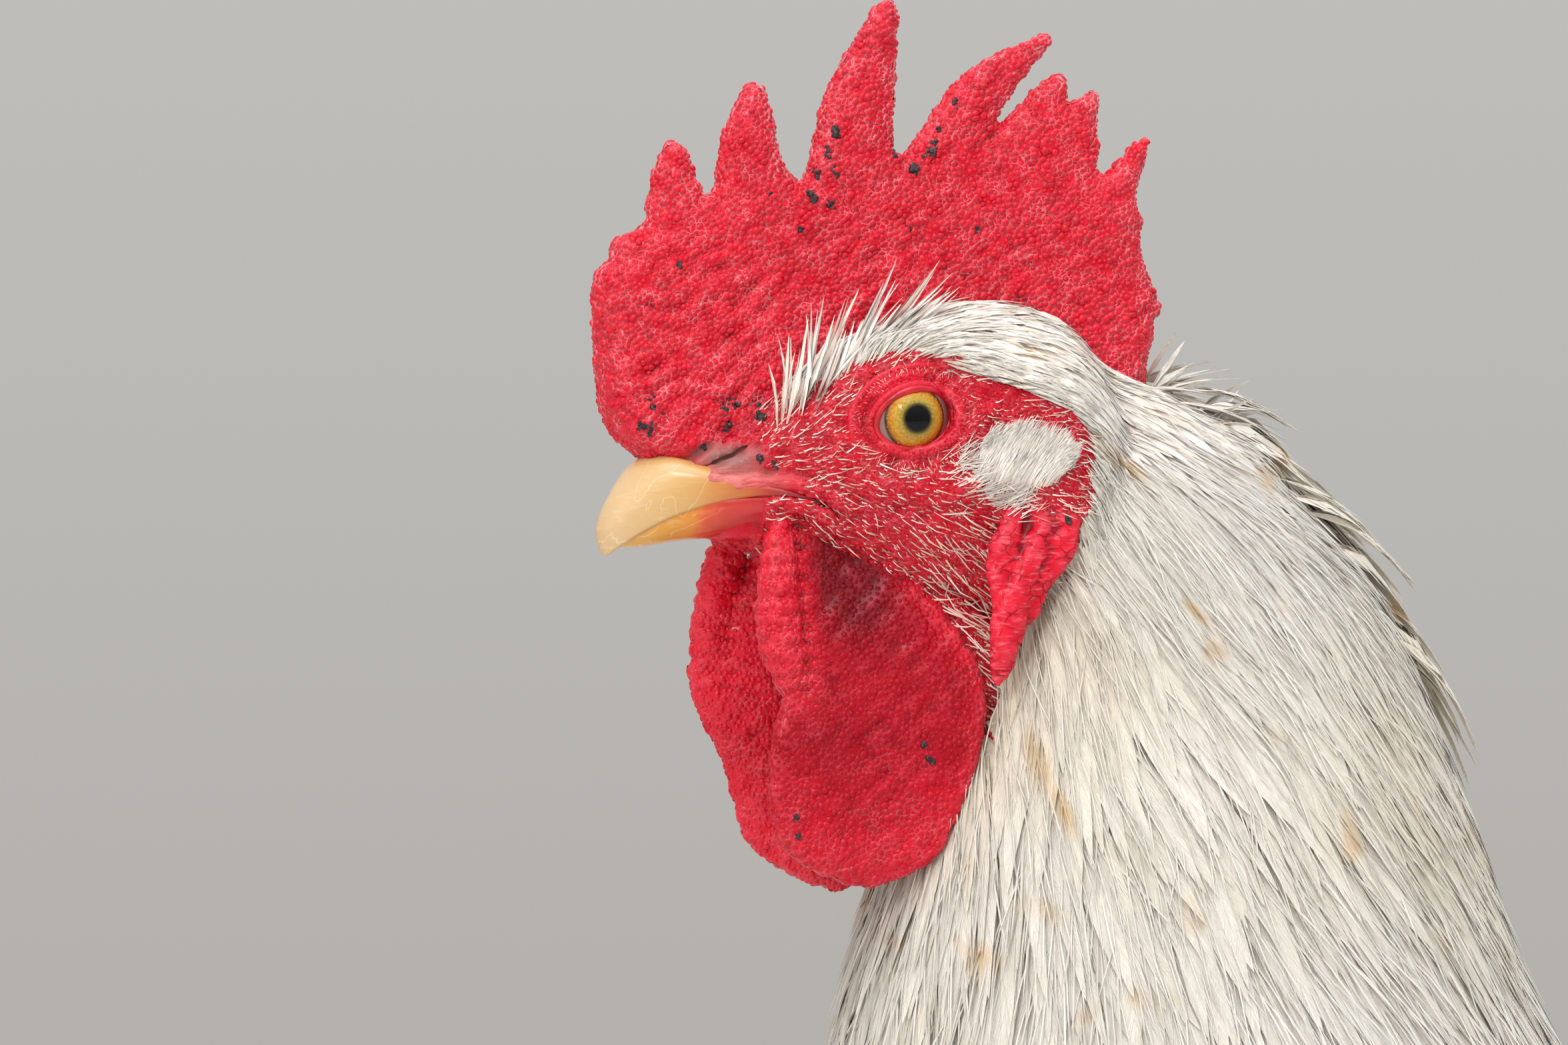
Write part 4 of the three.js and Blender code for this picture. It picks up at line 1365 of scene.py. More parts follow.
def bare_skin_material():
    """Bare skin, full of blood: deep red and moist, with painted shade darkening its folds and a painted
    highlight on its crests, and scurf in fine grooves.
    """
    material, add, shader = new_material("bare red skin")
    place = add("TexCoord")
    base = red_of_skin(add, place)
    hollow = add("Attribute", attribute_name="hollow")
    # painted shade: darker red deep in the folds of the skin
    fold_shaded = add("Mix", add("MapRange", hollow, 0.03, 0.22, 0.0, 0.85), base, colour("#65000f"))
    # painted highlight: brighter red on the crests between the folds
    crest_highlighted = add("Mix", add("MapRange", hollow, -0.2, -0.04, 0.35, 0.0), fold_shaded, colour("#f04458"))
    warp = add("TexNoise", place, per_metre(2.0), 3.0, output="Color")
    warped = add("VectorMath", warp, (0.0012,) * 3, place, operation="MULTIPLY_ADD")
    cells = add("TexVoronoi", warped, per_metre(0.95), feature="DISTANCE_TO_EDGE")
    groove = add("MapRange", cells, 0.01, 0.1, 1.0, 0.0)
    scurf = add("Attribute", attribute_name="scurf")
    webbed = add("Math", groove, scurf, operation="MULTIPLY")
    web = add("Math", webbed, scurf_patches(add, place), operation="MULTIPLY")
    flush_and_shading = add("Attribute", attribute_name="flush_and_shading")
    scurf_tone = add("ValToRGB", flush_and_shading, stops=[(0.2, "#d8475b"), (0.6, "#ee8c94")])
    scurfed = add("Mix", web, crest_highlighted, scurf_tone)
    wrinkled = add("Mapping", place, None, (0, math.radians(-8), 0), (1, 1, 4.5))
    # fine wrinkles, drawn out along the beak
    wrinkles = add("TexNoise", wrinkled, per_metre(2.2), 3.0, 0.5)
    lobed = add("Attribute", attribute_name="lobed")
    long_cells = add("Mapping", warped, None, (0, math.radians(-20), 0), (1, 1, 1.5))
    lobe_cells = add("TexVoronoi", long_cells, per_metre(2.6), feature="DISTANCE_TO_EDGE")
    crease_patches = add("MapRange", add("TexNoise", place, per_metre(3.5), 2.0), 0.42, 0.6, 0.1, 0.75)
    crease_line = add("MapRange", lobe_cells, 0.0, 0.06, 1.0, 0.0)
    crease = add("Math", crease_line, crease_patches, operation="MULTIPLY")
    creasing = add("Math", lobed, crease, operation="MULTIPLY")
    # painted shade: darker red along the creases of the lobes
    crease_shaded = add("Mix", creasing, scurfed, colour("#a80a20"))
    # painted highlight: pale pink patches on the lobes
    lobe_highlight = add("Math", lobed, add("MapRange", wrinkles, 0.54, 0.7, 0.0, 0.5), operation="MULTIPLY")
    lobe = add("Mix", lobe_highlight, crease_shaded, colour("#f4808c"))
    root_middle = world(from_eye(-27.5, 0, -9.4))
    root_place = add("Mapping", place, (-root_middle[0], 0, -3.4 * root_middle[2]), None, (1, 0, 3.4))
    root_away = add("VectorMath", root_place, operation="LENGTH", output="Value")
    # it thins over the horn
    paled = add("Mix", add("MapRange", root_away, 0.003, 0.012, 0.8, 0.0), lobe, colour("#e08a80"))
    by_horn = add("MapRange", root_away, 0.006, 0.014, 0.7, 0.0)
    drawn = add("Math", by_horn, add("MapRange", wrinkles, 0.5, 0.64), operation="MULTIPLY")
    striated = add("Mix", drawn, paled, colour("#c0343e"))
    middle = world(from_eye(-25.4, 0, -6.0))
    around = add("Mapping", place, (-middle[0], 0, -2.2 * middle[2]), None, (1, 0, 2.2))
    away = add("VectorMath", around, operation="LENGTH", output="Value")
    # ashy round the nostril
    skin_colour = add(
        "Mix", add("MapRange", away, 0.002, 0.0065, 0.8, 0.0), striated, colour("#94706a"),
    )
    fine = add("TexNoise", place, per_metre(0.6), 4.0)
    wrinkled_fine = add("Math", wrinkles, 1.5, fine, operation="MULTIPLY_ADD")
    relief = add("Math", creasing, -2.0, wrinkled_fine, operation="MULTIPLY_ADD")
    set_shader(
        shader, Base_Color=skin_colour, Roughness=0.45, IOR=1.42, Specular_IOR_Level=0.15,
        Coat_Weight=0.3, Coat_Roughness=0.16,
        Subsurface_Weight=0.12, Subsurface_Radius=(1.0, 0.15, 0.1), Subsurface_Scale=0.001,
        Normal=add("Bump", relief, 0.16 * MM),
    )
    return material


def papilla_material():
    """The papillae: the same skin drawn tight over small beads, with a painted highlight on their tops and
    pale scurf round their feet.
    """
    material, add, shader = new_material("papillae of red skin")
    place = add("TexCoord")
    base = red_of_skin(add, place)
    lift = add("Attribute", attribute_name="lift")
    tint = add("Attribute", attribute_name="tint")
    scurf = add("Attribute", attribute_name="scurf")
    varied = add("Mix", add("MapRange", tint, 0.0, 0.5, 0.45, 0.0), base, colour("#86000f"))
    flush_and_shading = add("Attribute", attribute_name="flush_and_shading")
    # painted highlight: the top of each bead brighter red
    top = add("Math", add("MapRange", lift, 0.5, 1.0, 0.0, 0.4), flush_and_shading, operation="MULTIPLY")
    top_highlighted = add("Mix", top, varied, colour("#f0344a"))
    foot = add("Math", add("MapRange", lift, 0.05, 0.7, 1.0, 0.0), scurf, operation="MULTIPLY")
    web = add("Math", foot, scurf_patches(add, place), operation="MULTIPLY")
    webbed = add("Mix", web, top_highlighted, add("ValToRGB", flush_and_shading, stops=[(0.2, "#d8475b"), (0.6, "#f2a0a6")]))
    # wrinkles of each bead, a quarter of a millimetre
    fine = add("TexNoise", place, per_metre(0.28), 3.0)
    set_shader(
        shader, Base_Color=webbed, Roughness=0.42, IOR=1.42, Specular_IOR_Level=0.1,
        Coat_Weight=add("MapRange", flush_and_shading, 0.3, 0.8, 0.18, 0.5), Coat_Roughness=0.14,
        Subsurface_Weight=0.1, Subsurface_Radius=(1.0, 0.15, 0.1), Subsurface_Scale=0.0008,
        Normal=add("Bump", fine, 0.1 * MM),
    )
    return material


def lid_material():
    """The margin of the lids: smooth wet skin, the brightest red of the head."""
    material, add, shader = new_material("wet margin of the lids")
    place = add("TexCoord")
    fine = add("TexNoise", place, per_metre(0.5), 3.0)
    base = add(
        "ValToRGB", add("TexNoise", place, per_metre(3), 2.0),
        stops=[(0.35, "#b4041c"), (0.55, "#d00a22"), (0.75, "#de2236")],
    )
    set_shader(
        shader, Base_Color=base, Roughness=0.3, IOR=1.42, Specular_IOR_Level=0.3, Coat_Weight=0.7,
        Coat_Roughness=0.1,
        Normal=add("Bump", fine, 0.1 * MM),
    )
    return material


# orange marks on the neck: place round the eye, half length and width, and how steeply they fall
STAINS = (
    (17, 9.4, 4, 1.0, 20), (31, -6.4, 5, 1.3, 37), (16.5, -49, 5, 1.6, 80), (19, -56, 4, 1.2, 76),
    (40, -28, 3, 0.8, 50),
)


def plumage_tones(add, place):
    """White gone creamy: slow yellowing along the neck and back, and a few orange stains."""
    slow = add("TexNoise", place, per_metre(60), 2.0)
    base = add("ValToRGB", slow, stops=[(0.35, "#f5f0e8"), (0.55, "#f2ebdd"), (0.7, "#f0e4cc")])
    # stained patches, a feather or two wide
    stains = add("MapRange", add("TexNoise", place, per_metre(14), 1.5, 0.6), 0.62, 0.76, 0.0, 0.7)
    height = add("SeparateXYZ", place)
    low, high = world((0, 0, 400))[2], world((0, 0, 450))[2]
    on_neck = add("MapRange", height, float(low), float(high), 0.12, 1.0)
    stained = add("Math", stains, on_neck, operation="MULTIPLY")
    for x, z, long, wide, steep in STAINS:
        x0, _, z0 = (float(value) for value in world(from_eye(x, 0, z)))
        turned = add(
            "Mapping", place, (x0, 0, z0), (0, math.radians(steep), 0), (long * MM, 1000, wide * MM),
            vector_type="TEXTURE",
        )
        away = add("VectorMath", turned, operation="LENGTH", output="Value")
        spot = add("MapRange", away, 0.3, 1.3, 0.75, 0.0)
        stained = add("Math", stained, spot, operation="MAXIMUM")
    return add("Mix", stained, base, colour("#dfae62"))


def barb_lines(add, tint):
    """The barbs of a feather as fine lines, about half a millimetre apart along its shaft."""
    across = add("Attribute", attribute_name="across")
    barb = add("Attribute", attribute_name="barb")  # in mm along the feather
    finely = add("Math", barb, 1 / 0.55, operation="MULTIPLY")
    own = add("Math", tint, 40.0, operation="MULTIPLY")
    lined = add("CombineXYZ", across, finely, own)
    return add("TexNoise", lined, 1.0, 2.0)


def feather_material():
    """White cock's plumage: matt keratin barbs that scatter light among them, warmer near the skin."""
    material, add, shader = new_material("white feather")
    place = add("TexCoord")
    tones = plumage_tones(add, place)
    tint = add("Attribute", attribute_name="tint")
    along = add("Attribute", attribute_name="along")
    varied = add("Mix", add("MapRange", tint, 0.3, 1.0, 0.0, 0.4), tones, colour("#f8f5ef"))
    deep = add("Mix", add("MapRange", along, 0.0, 0.45, 0.35, 0.0), varied, colour("#dfd0b8"))
    barbs = barb_lines(add, tint)
    lined = add("Mix", add("MapRange", barbs, 0.36, 0.56, 0.5, 0.0), deep, colour("#d9cdb8"))
    set_shader(
        shader, Base_Color=lined, Roughness=0.62, IOR=1.5, Specular_IOR_Level=0.25,
        Sheen_Weight=0.12, Sheen_Roughness=0.4, Normal=add("Bump", barbs, 0.25 * MM),
    )
    return material


def feathered_skin_material():
    """The skin under the plumage, with the down that lies on it: soft and cream, without gloss."""
    material, add, shader = new_material("skin under down")
    place = add("TexCoord")
    down = add("TexNoise", place, per_metre(1.2), 3.0)  # tufts of down, about 1.2 mm
    base = add("Mix", add("MapRange", down, 0.3, 0.7), plumage_tones(add, place), colour("#e3d7c4"))
    set_shader(shader, Base_Color=base, Roughness=0.8, Normal=add("Bump", down, 0.3 * MM))
    return material


def leg_material():
    """Scaly leg skin: waxy yellow, dull in the joints, with a fine pebbled grain between the plates."""
    material, add, shader = new_material("yellow leg skin")
    place = add("TexCoord")
    cells = add("TexVoronoi", place, per_metre(1.6))
    wear = add("TexNoise", place, per_metre(9), 3.0)
    base = add("ValToRGB", wear, stops=[(0.3, "#d49a35"), (0.55, "#e0ad4c"), (0.75, "#e9c477")])
    dull = add("Mix", add("MapRange", cells, 0.4, 0.8), base, colour("#b98538"))
    set_shader(
        shader, Base_Color=dull, Roughness=0.48, IOR=1.5, Coat_Weight=0.1, Coat_Roughness=0.4,
        Normal=add("Bump", cells, -0.35 * MM),
    )
    return material


def fine_feather_material():
    """The finest head feathers: almost pure white, with pinkish bases where the skin glows through."""
    material, add, shader = new_material("fine white feather")
    tint = add("Attribute", attribute_name="tint")
    along = add("Attribute", attribute_name="along")
    base = add("ValToRGB", tint, stops=[(0.0, "#f8e7d6"), (0.4, "#fcf3e8"), (1.0, "#fdf9f3")])
    rooted = add("Mix", add("MapRange", along, 0.0, 0.5, 0.5, 0.0), base, colour("#f6cdb9"))
    set_shader(
        shader, Base_Color=rooted, Roughness=0.55, IOR=1.5, Sheen_Weight=0.5, Sheen_Roughness=0.4,
    )
    return material


def bristle_material():
    """Bristles and rictal hairs: thin bare feather shafts, yellowish white and a little glossy."""
    material, add, shader = new_material("bristle")
    tint = add("Attribute", attribute_name="tint")
    along = add("Attribute", attribute_name="along")
    base = add("ValToRGB", tint, stops=[(0.0, "#f3b8a2"), (0.4, "#f6d4c0"), (1.0, "#fdf1e8")])
    rooted = add("Mix", add("MapRange", along, 0.0, 0.4, 0.4, 0.0), base, colour("#e58c82"))
    set_shader(shader, Base_Color=rooted, Roughness=0.45, IOR=1.5)
    return material


MATERIALS = {
    "red": bare_skin_material(),
    "papilla": papilla_material(),
    "lid": lid_material(),
    "feather": feather_material(),
    "down": feathered_skin_material(),
    "leg": leg_material(),
    "fine": fine_feather_material(),
    "bristle": bristle_material(),
}


def finish_skin():
    """Gives each part of the skin its finish, and has it stand for every solid of flesh."""
    skin.data.materials.clear()
    for material in (MATERIALS["red"], MATERIALS["down"], MATERIALS["leg"]):
        skin.data.materials.append(material)
    plumed = is_plumed(FACE_MIDDLE, FACE_FORM)
    index = np.where(FACE_FORM == "leg", 2, np.where(plumed, 1, 0))
    skin.data.polygons.foreach_set("material_index", index.astype(np.int32))
    skin.data.shade_smooth()
    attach(skin, "root")
    own = ("eye_", "beak_", "claw_", "spur_", "tail_fan", "sickle_")
    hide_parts(*(name for name in frame["nodes"] if not name.startswith(own)))


finish_skin()

# ---- Papillae and scabs of the bare skin ----
def bare(form):
    return lambda points, forms: (forms == form) & ~is_plumed(points, forms)


def face_bare(points, forms):
    clear = (from_opening(points)[0] > 2.7) & ~smooth_skin(points)
    return (forms == "face") & ~is_plumed(points, forms) & clear


def lid_bare(points, forms):
    out = from_opening(points)[0]
    low = points[:, 2] < EYE_Z + LID_MIDDLE[1]
    return np.isin(forms, ("lid", "face")) & (out < 3.4) & (out > np.where(low, 0.5, 1.5))


def comb_bare(points, forms):
    return (forms == "comb") & ~smooth_skin(points)


def along_folds(points):
    return np.tile((math.cos(RIDGE_TILT), 0, math.sin(RIDGE_TILT)), (len(points), 1))


FACE_LIE = np.array([  # place round the eye, seen from the side, and the way the bristles point there
    (-26, -3, 0.95, 0.2), (-18, 4, 0.6, 0.8), (-14, -6, 0.95, 0.05), (-6, -9, 0.9, -0.25),
    (4, -10, 0.9, -0.35),
    (14, -8, 0.9, -0.3), (-12, -16, 0.75, -0.5), (-2, -18, 0.7, -0.6), (8, -22, 0.6, -0.75),
    (4, -28, 0.5, -0.85),
    (0, 11, 0.9, 0.1), (12, 4, 0.8, -0.35), (18, -4, 0.8, -0.35), (22, -12, 0.8, -0.5),
])


def face_lie(points):
    """The way a bristle of the face points."""
    place = head_place(points)[:, [0, 2]]
    apart = ((place[:, None] - FACE_LIE[None, :, :2]) ** 2).sum(axis=2)
    way = (1 / (apart + 6.0) ** 1.5) @ FACE_LIE[:, 2:]
    return unit(np.stack([way[:, 0], np.zeros(len(way)), way[:, 1]], axis=1))


PAPILLAE = (  # name, form, where, gap, radius, height, how much longer than wide, along, seed
    ("comb_papillae", "comb", comb_bare, 0.68, 0.62, 0.36, (0.9, 1.6), along_folds, 11),
    ("wattle_papillae", "wattle", bare("wattle"), 0.7, 0.58, 0.2, (0.8, 1.4), None, 12),
    ("face_papillae", "face", face_bare, 0.6, 0.44, 0.24, (1.2, 2.6), face_lie, 13),
    ("lid_papillae", "lid", lid_bare, 0.46, 0.26, 0.22, (0.8, 1.4), None, 14),
)
for name, form, where, gap, radius, height, longer, way, seed in PAPILLAE:
    roots, ups = sow(seed, where, gap)
    rng = np.random.default_rng(seed)
    size = rng.uniform(0.55, 1.2, len(roots)) * (1 + 0.15 * ripple(roots, 7, seed))
    tall = height * size * rng.uniform(0.6, 1.4, len(roots))
    values = {
        "flush_and_shading": flush_and_shading_at(roots, np.full(len(roots), form)), "scurf": np.full(len(roots), SCURF[form]),
    }
    beads = stud(name, seed, roots, ups, radius * size, tall, longer, way, values)
    finish_piece(beads, MATERIALS["papilla"])


def lid_rim(label, side):
    """The smooth margin that edges the lids, broader above than at the corners."""
    turns = np.linspace(0, 2 * math.pi * 1.03, 40)
    path = [lid_point(side, turn, 0.12, 0.3) for turn in turns]
    radii = [0.42 + 0.14 * max(math.sin(turn), 0) + 0.05 * math.sin(5 * turn) for turn in turns]
    rim = strand(f"lid_rim_{label}", path, radii, 12, 120, (0.01, 0.01))
    rim.data.shade_smooth()
    return finish_piece(rim, MATERIALS["lid"])


for label, side in SIDES:
    lid_rim(label, side)

# ---- Eyes ----
IRIS_MIDDLE = (0.45, -0.45)  # round the eye's place, seen from the side
IRIS_RADIUS, PUPIL_RADIUS = 4.45, 1.95
CORNEA_BULGE = 0.55


def eye_material():
    """A wet eye: a black pupil in an iris of amber grains with a dark rim, under a clear glossy coat."""
    material, add, shader = new_material("wet eye")
    place = add("TexCoord")
    middle = world(from_eye(IRIS_MIDDLE[0], 0, IRIS_MIDDLE[1]))
    flat = add("Mapping", place, (-middle[0], 0, -middle[2]), None, (1, 0, 1))
    length = add("VectorMath", flat, operation="LENGTH", output="Value")
    radius = add("MapRange", length, 0, 6 * MM)
    # the pigment's grains, about a third of a millimetre
    grains = add("TexNoise", place, per_metre(0.3), 4.0)
    pupil, rim = PUPIL_RADIUS / 6, IRIS_RADIUS / 6
    rings_of_colour = add(
        "ValToRGB", radius,
        stops=[
            (pupil - 0.03, "#050506"), (pupil + 0.025, "#5a4a1c"), (pupil + 0.07, "#a08c3a"),
            (0.47, "#bd9a3c"), (0.56, "#cf9a32"), (0.64, "#cc8420"), (rim - 0.05, "#a8641a"),
            (rim - 0.015, "#3a2630"), (rim + 0.02, "#2a1c24"),
        ],
    )
    dark_grains = add(
        "Mix", add("MapRange", grains, 0.4, 0.52, 0.28, 0.0), rings_of_colour, colour("#6b4310"),
    )
    light_grains = add(
        "Mix", add("MapRange", grains, 0.54, 0.68, 0.0, 0.35), dark_grains, colour("#ecc257"),
    )
    in_iris = add("MapRange", radius, pupil, pupil + 0.06)
    iris = add("Mix", in_iris, rings_of_colour, light_grains)
    corner = add("Mix", add("MapRange", radius, rim, rim + 0.04), iris, colour("#a07a72"))
    set_shader(
        shader, Base_Color=corner, Roughness=0.22, IOR=1.38, Coat_Weight=0.9, Coat_Roughness=0.02,
        Coat_IOR=1.336, Specular_IOR_Level=0.05,
    )
    return material


def eye_globe(label, side):
    """The eyeball, a little fuller where the cornea covers the iris."""
    globe, share, spoke = rings(f"eyeball_{label}", 64, 48)
    angle = (1 - share) * math.pi
    radius = np.sin(angle) * GLOBE_RADIUS
    out = np.cos(angle) * GLOBE_RADIUS
    x, z = spoke[:, 0] * radius, spoke[:, 1] * radius
    out += CORNEA_BULGE * np.clip(1 - (radius / (IRIS_RADIUS + 0.6)) ** 2, 0, 1) * (out > 0)
    move_points(globe, world(np.stack([x, side * (GLOBE_Y + out), z], axis=1) + (EYE_X, 0, EYE_Z)))
    face_outwards(globe)
    globe.data.shade_smooth()
    return globe


wet_eye = eye_material()
for label, side in SIDES:
    globe = finish_piece(eye_globe(label, side), wet_eye)
    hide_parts(f"eye_{label}")

# ---- Beak ----
def beak_material(name, stops):
    """Beak horn: translucent keratin, worn pale at the tip and blushing where it meets the skin."""
    material, add, shader = new_material(name)
    place = add("TexCoord")
    tip, root = world(from_eye(-43, 0, 0))[0], world(from_eye(-13, 0, 0))[0]
    x = add("SeparateXYZ", place, output="X")
    swirl = add("TexNoise", place, per_metre(7), 3.0, 0.8)
    along = add("MapRange", x, float(tip), float(root))
    moved = add("Math", swirl, 0.12, along, operation="MULTIPLY_ADD")
    shifted = add("Math", moved, 0.06, operation="SUBTRACT")
    base = add("ValToRGB", shifted, stops=stops)
    streaky = add("Mapping", place, None, (0, math.radians(-28), 0), (1, 2.2, 5))
    lines = add("TexNoise", streaky, per_metre(4.0), 4.0, 0.4)  # growth lines and scuffs along the horn
    front = add("MapRange", along, 0.3, 0.6, 0.5, 0.0)
    scuffed = add("Math", add("MapRange", lines, 0.56, 0.7, 0.0, 0.5), front, operation="MULTIPLY")
    worn = add("Mix", scuffed, base, colour("#efd6ac"))
    slanted = add("Mapping", place, None, (0, math.radians(-42), 0), (2.4, 1, 1), vector_type="TEXTURE")
    # where layers of horn have worn through, in thin lines
    layers = add("TexNoise", slanted, per_metre(6), 3.0, 0.8)
    rising = add("MapRange", layers, 0.52, 0.535)
    falling = add("MapRange", layers, 0.535, 0.545, 1.0, 0.0)
    wavy = add("Math", rising, falling, operation="MULTIPLY")
    on_front = add("Math", wavy, add("MapRange", along, 0.4, 0.6, 0.3, 0.0), operation="MULTIPLY")
    lined = add("Mix", on_front, worn, colour("#fdeed2"))
    set_shader(
        shader, Base_Color=lined, Roughness=0.34, IOR=1.54, Coat_Weight=0.35, Coat_Roughness=0.14,
        Subsurface_Weight=0.15, Subsurface_Radius=(1.0, 0.6, 0.3), Subsurface_Scale=0.0015,
        Normal=add("Bump", lines, 0.06 * MM),
    )
    return material


upper_horn = beak_material("upper beak horn", [
    (0.0, "#d3b083"), (0.1, "#dcb885"), (0.3, "#ddb273"), (0.42, "#d9a661"), (0.52, "#d68d45"),
    (0.66, "#cc6a2b"), (0.78, "#b62f20"),
    (0.88, "#9d1520"),
])
lower_horn = beak_material("lower beak horn", [
    (0.0, "#ecce98"), (0.15, "#e8b25a"), (0.33, "#e39a2c"), (0.43, "#e68c1c"), (0.49, "#e0561a"),
    (0.57, "#d2301e"), (0.7, "#c81c24"), (0.9, "#b21022"),
])
finish_piece(upper_beak, upper_horn)
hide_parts("beak_upper")
finish_piece(lower_beak, lower_horn)
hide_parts("beak_lower")

# ---- Claws, spurs and leg scales ----
CLAW_LENGTH, CLAW_HALF = 14.0, 2.5
SPUR_X, SPUR_Z, SPUR_LENGTH, SPUR_HALF = 26.0, 50.0, 21.0, 4.2


def claw_material():
    """Claw and spur horn: pale, streaked grey-brown along its growth."""
    material, add, shader = new_material("claw horn")
    place = add("TexCoord")
    streaks = add("TexNoise", place, per_metre(2.6), 4.0, 1.0)
    base = add("ValToRGB", streaks, stops=[(0.3, "#8d7757"), (0.5, "#c2a77c"), (0.7, "#dcc8a0")])
    set_shader(shader, Base_Color=base, Roughness=0.45, IOR=1.54, Normal=add("Bump", streaks, 0.1 * MM))
    return material


def claw(label, side, name, turn, length, girth):
    reach = CLAW_LENGTH * (0.85 if name == "hind" else 1)
    share = np.linspace(0, 1, 7)
    x = -length + 4.5 - (reach + 4.5) * share
    z = 4.6 + 1.2 * np.sin(math.pi * np.minimum(share * 1.2, 1)) - 3.6 * share**2
    radii = CLAW_HALF * girth * (1 - 0.86 * share)
    path = turn_toe(np.stack([x, np.zeros(7), z], axis=1), turn, side)
    piece = strand(f"horn_claw_{label}_{name}", path, radii, 20, 28, (0.06, 0.03))
    piece.data.shade_smooth()
    return piece


def spur(label, side):
    share = np.linspace(0, 1, 6)
    path = np.stack(
        [SPUR_X - 1 + (SPUR_LENGTH + 1) * share, side * (50 - 9 * share), SPUR_Z + 5 * share**2],
        axis=1,
    )
    piece = strand(
        f"horn_spur_{label}", path, SPUR_HALF * (1 - 0.85 * share**0.9), 24, 32, (0.04, 0.05),
    )
    piece.data.shade_smooth()
    return piece


PLATE_ACROSS, PLATE_ALONG = 7, 6  # points of a scale's grid


def plates(name, surface, spots):
    """Scales, each a curved plate on surface(turn, level, height), raised in its middle."""
    across = np.linspace(-1, 1, PLATE_ACROSS)
    along = np.linspace(-1, 1, PLATE_ALONG)
    u, v = (grid.ravel() for grid in np.meshgrid(across, along))
    rise = 0.75 * (1 - u**6) * (1 - v**6) * (0.72 - 0.28 * v) - 0.35
    corner = np.arange(PLATE_ACROSS * (PLATE_ALONG - 1)).reshape(PLATE_ALONG - 1, -1)[:, :-1].ravel()
    quads = np.stack([corner, corner + 1, corner + PLATE_ACROSS + 1, corner + PLATE_ACROSS], axis=1)
    triangles = np.vstack([quads[:, :3], quads[:, [0, 2, 3]]])
    points, faces = [], []
    for turn, half_turn, level, half_level in spots:
        faces.append(triangles + len(points) * len(u))
        points.append(surface(turn + u * half_turn, level + v * half_level, rise))
    piece = build(name, np.vstack(points), np.vstack(faces))
    face_outwards(piece)
    return piece


def shank_surface(side):
    rows = np.array(SHANK)[::-1]
    level_of = (rows[:, 1] + rows[:, 3]) / 2

    def at(turn, level, height):
        front, back, half, middle = (np.interp(level, level_of, rows[:, k]) for k in (0, 2, 4, 5))
        deep = (back - front) / 2 + height
        x = (front + back) / 2 - deep * np.cos(turn)
        return np.stack([x, side * middle + (half + height) * np.sin(turn), level], axis=1)

    return at


def toe_surface(side, turn, length, girth, joints):
    rows = np.array(toe_slices(length, girth, joints))[::-1]

    def at(across, along, height):
        high, half = (np.interp(along, rows[:, 0], rows[:, k]) for k in (3, 4))
        z = high / 2 + (high / 2 + height) * np.cos(across)
        return turn_toe(np.stack([along, (half + height) * np.sin(across), z], axis=1), turn, side)

    return at


def leg_scales(label, side):
    spots = []
    for i in range(19):
        level = 22 + 5.6 * i
        for turn, shift in ((-0.62, 0.0), (0.62, 2.8)):
            spots.append((turn, 0.6, level + shift, 3.0))
    pieces = [plates(f"scales_{label}_shank", shank_surface(side), spots)]
    for name, turn, length, girth, joints in TOES:
        count = int(length / 4.2)
        spots = [(0.0, 1.05, -8 - (length - 12) * i / count, 2.5) for i in range(count + 1)]
        pieces.append(
            plates(f"scales_{label}_{name}", toe_surface(side, turn, length, girth, joints), spots)
        )
    return join(f"leg_scales_{label}", pieces)


claw_horn = claw_material()
for label, side in SIDES:
    scales = finish_piece(leg_scales(label, side), MATERIALS["leg"])
    scales.data.shade_smooth()
    spur_piece = finish_piece(spur(label, side), claw_horn)
    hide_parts(f"spur_{label}")
    for name, turn, length, girth, _ in TOES:
        claw_piece = finish_piece(claw(label, side, name, turn, length, girth), claw_horn)
        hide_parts(f"claw_{label}_{name}")


# ---- Feathers that follow the skin ----
def levels(*pairs):
    """A value by height over or under the eye, from pairs of height and value."""
    heights, values = np.array(sorted(pairs)).T

    def at(points):
        return np.interp(points[:, 2] - EYE_Z, heights, values)

    return at


def fixed(value):
    return lambda points: np.full(len(points), float(value))


def crown(points, forms):
    over = head_place(points)[:, 2] > -3
    return over & (forms == "face") & feathered(points)


def hackle_ground(points, forms):
    place = head_place(points)
    head = (forms == "face") & feathered(points)
    throat = (place[:, 2] < -43) & (place[:, 0] < 12)
    return (head | ((forms == "neck") & (feathered(points) | throat))) & (place[:, 2] > -112)


def cape_ground(points, forms):
    z = head_place(points)[:, 2]
    return (forms == "neck") & (z < -96) & (z > -190)


def trunk_part(low_x, high_x, low_z, high_z):
    def where(points, forms):
        x, z = points[:, 0], points[:, 2]
        return np.isin(
            forms, ("trunk", "neck"),
        ) & (x > low_x) & (x < high_x) & (z > low_z) & (z < high_z)

    return where


def saddle_ground(points, forms):
    return (forms == "trunk") & (points[:, 0] > 10) & (points[:, 2] > 372)


def thigh_ground(points, forms):
    return (forms == "thigh") & (points[:, 2] > 148)


def hock_ground(points, forms):
    return np.isin(forms, ("thigh", "leg")) & (points[:, 2] > 133) & (points[:, 2] <= 152)


def scapular_ground(points, forms):
    """Along the upper edge of the folded wing, where it tucks under the feathers of the back."""
    x, y, z = points[:, 0], np.abs(points[:, 1]), points[:, 2]
    edge = np.interp(x, (-60, 0, 60, 130), (378, 368, 346, 318))
    return np.isin(
        forms, ("wing", "trunk"),
    ) & (x > -60) & (x < 120) & (np.abs(z - edge) < 14) & (y > 30)


def shoulder_ground(points, forms):
    return (forms == "wing") & (points[:, 0] < -8)


def family(count, **shape):
    """Feathers of one kind that differ a little."""
    return [vane(seed, **shape) for seed in range(count)]


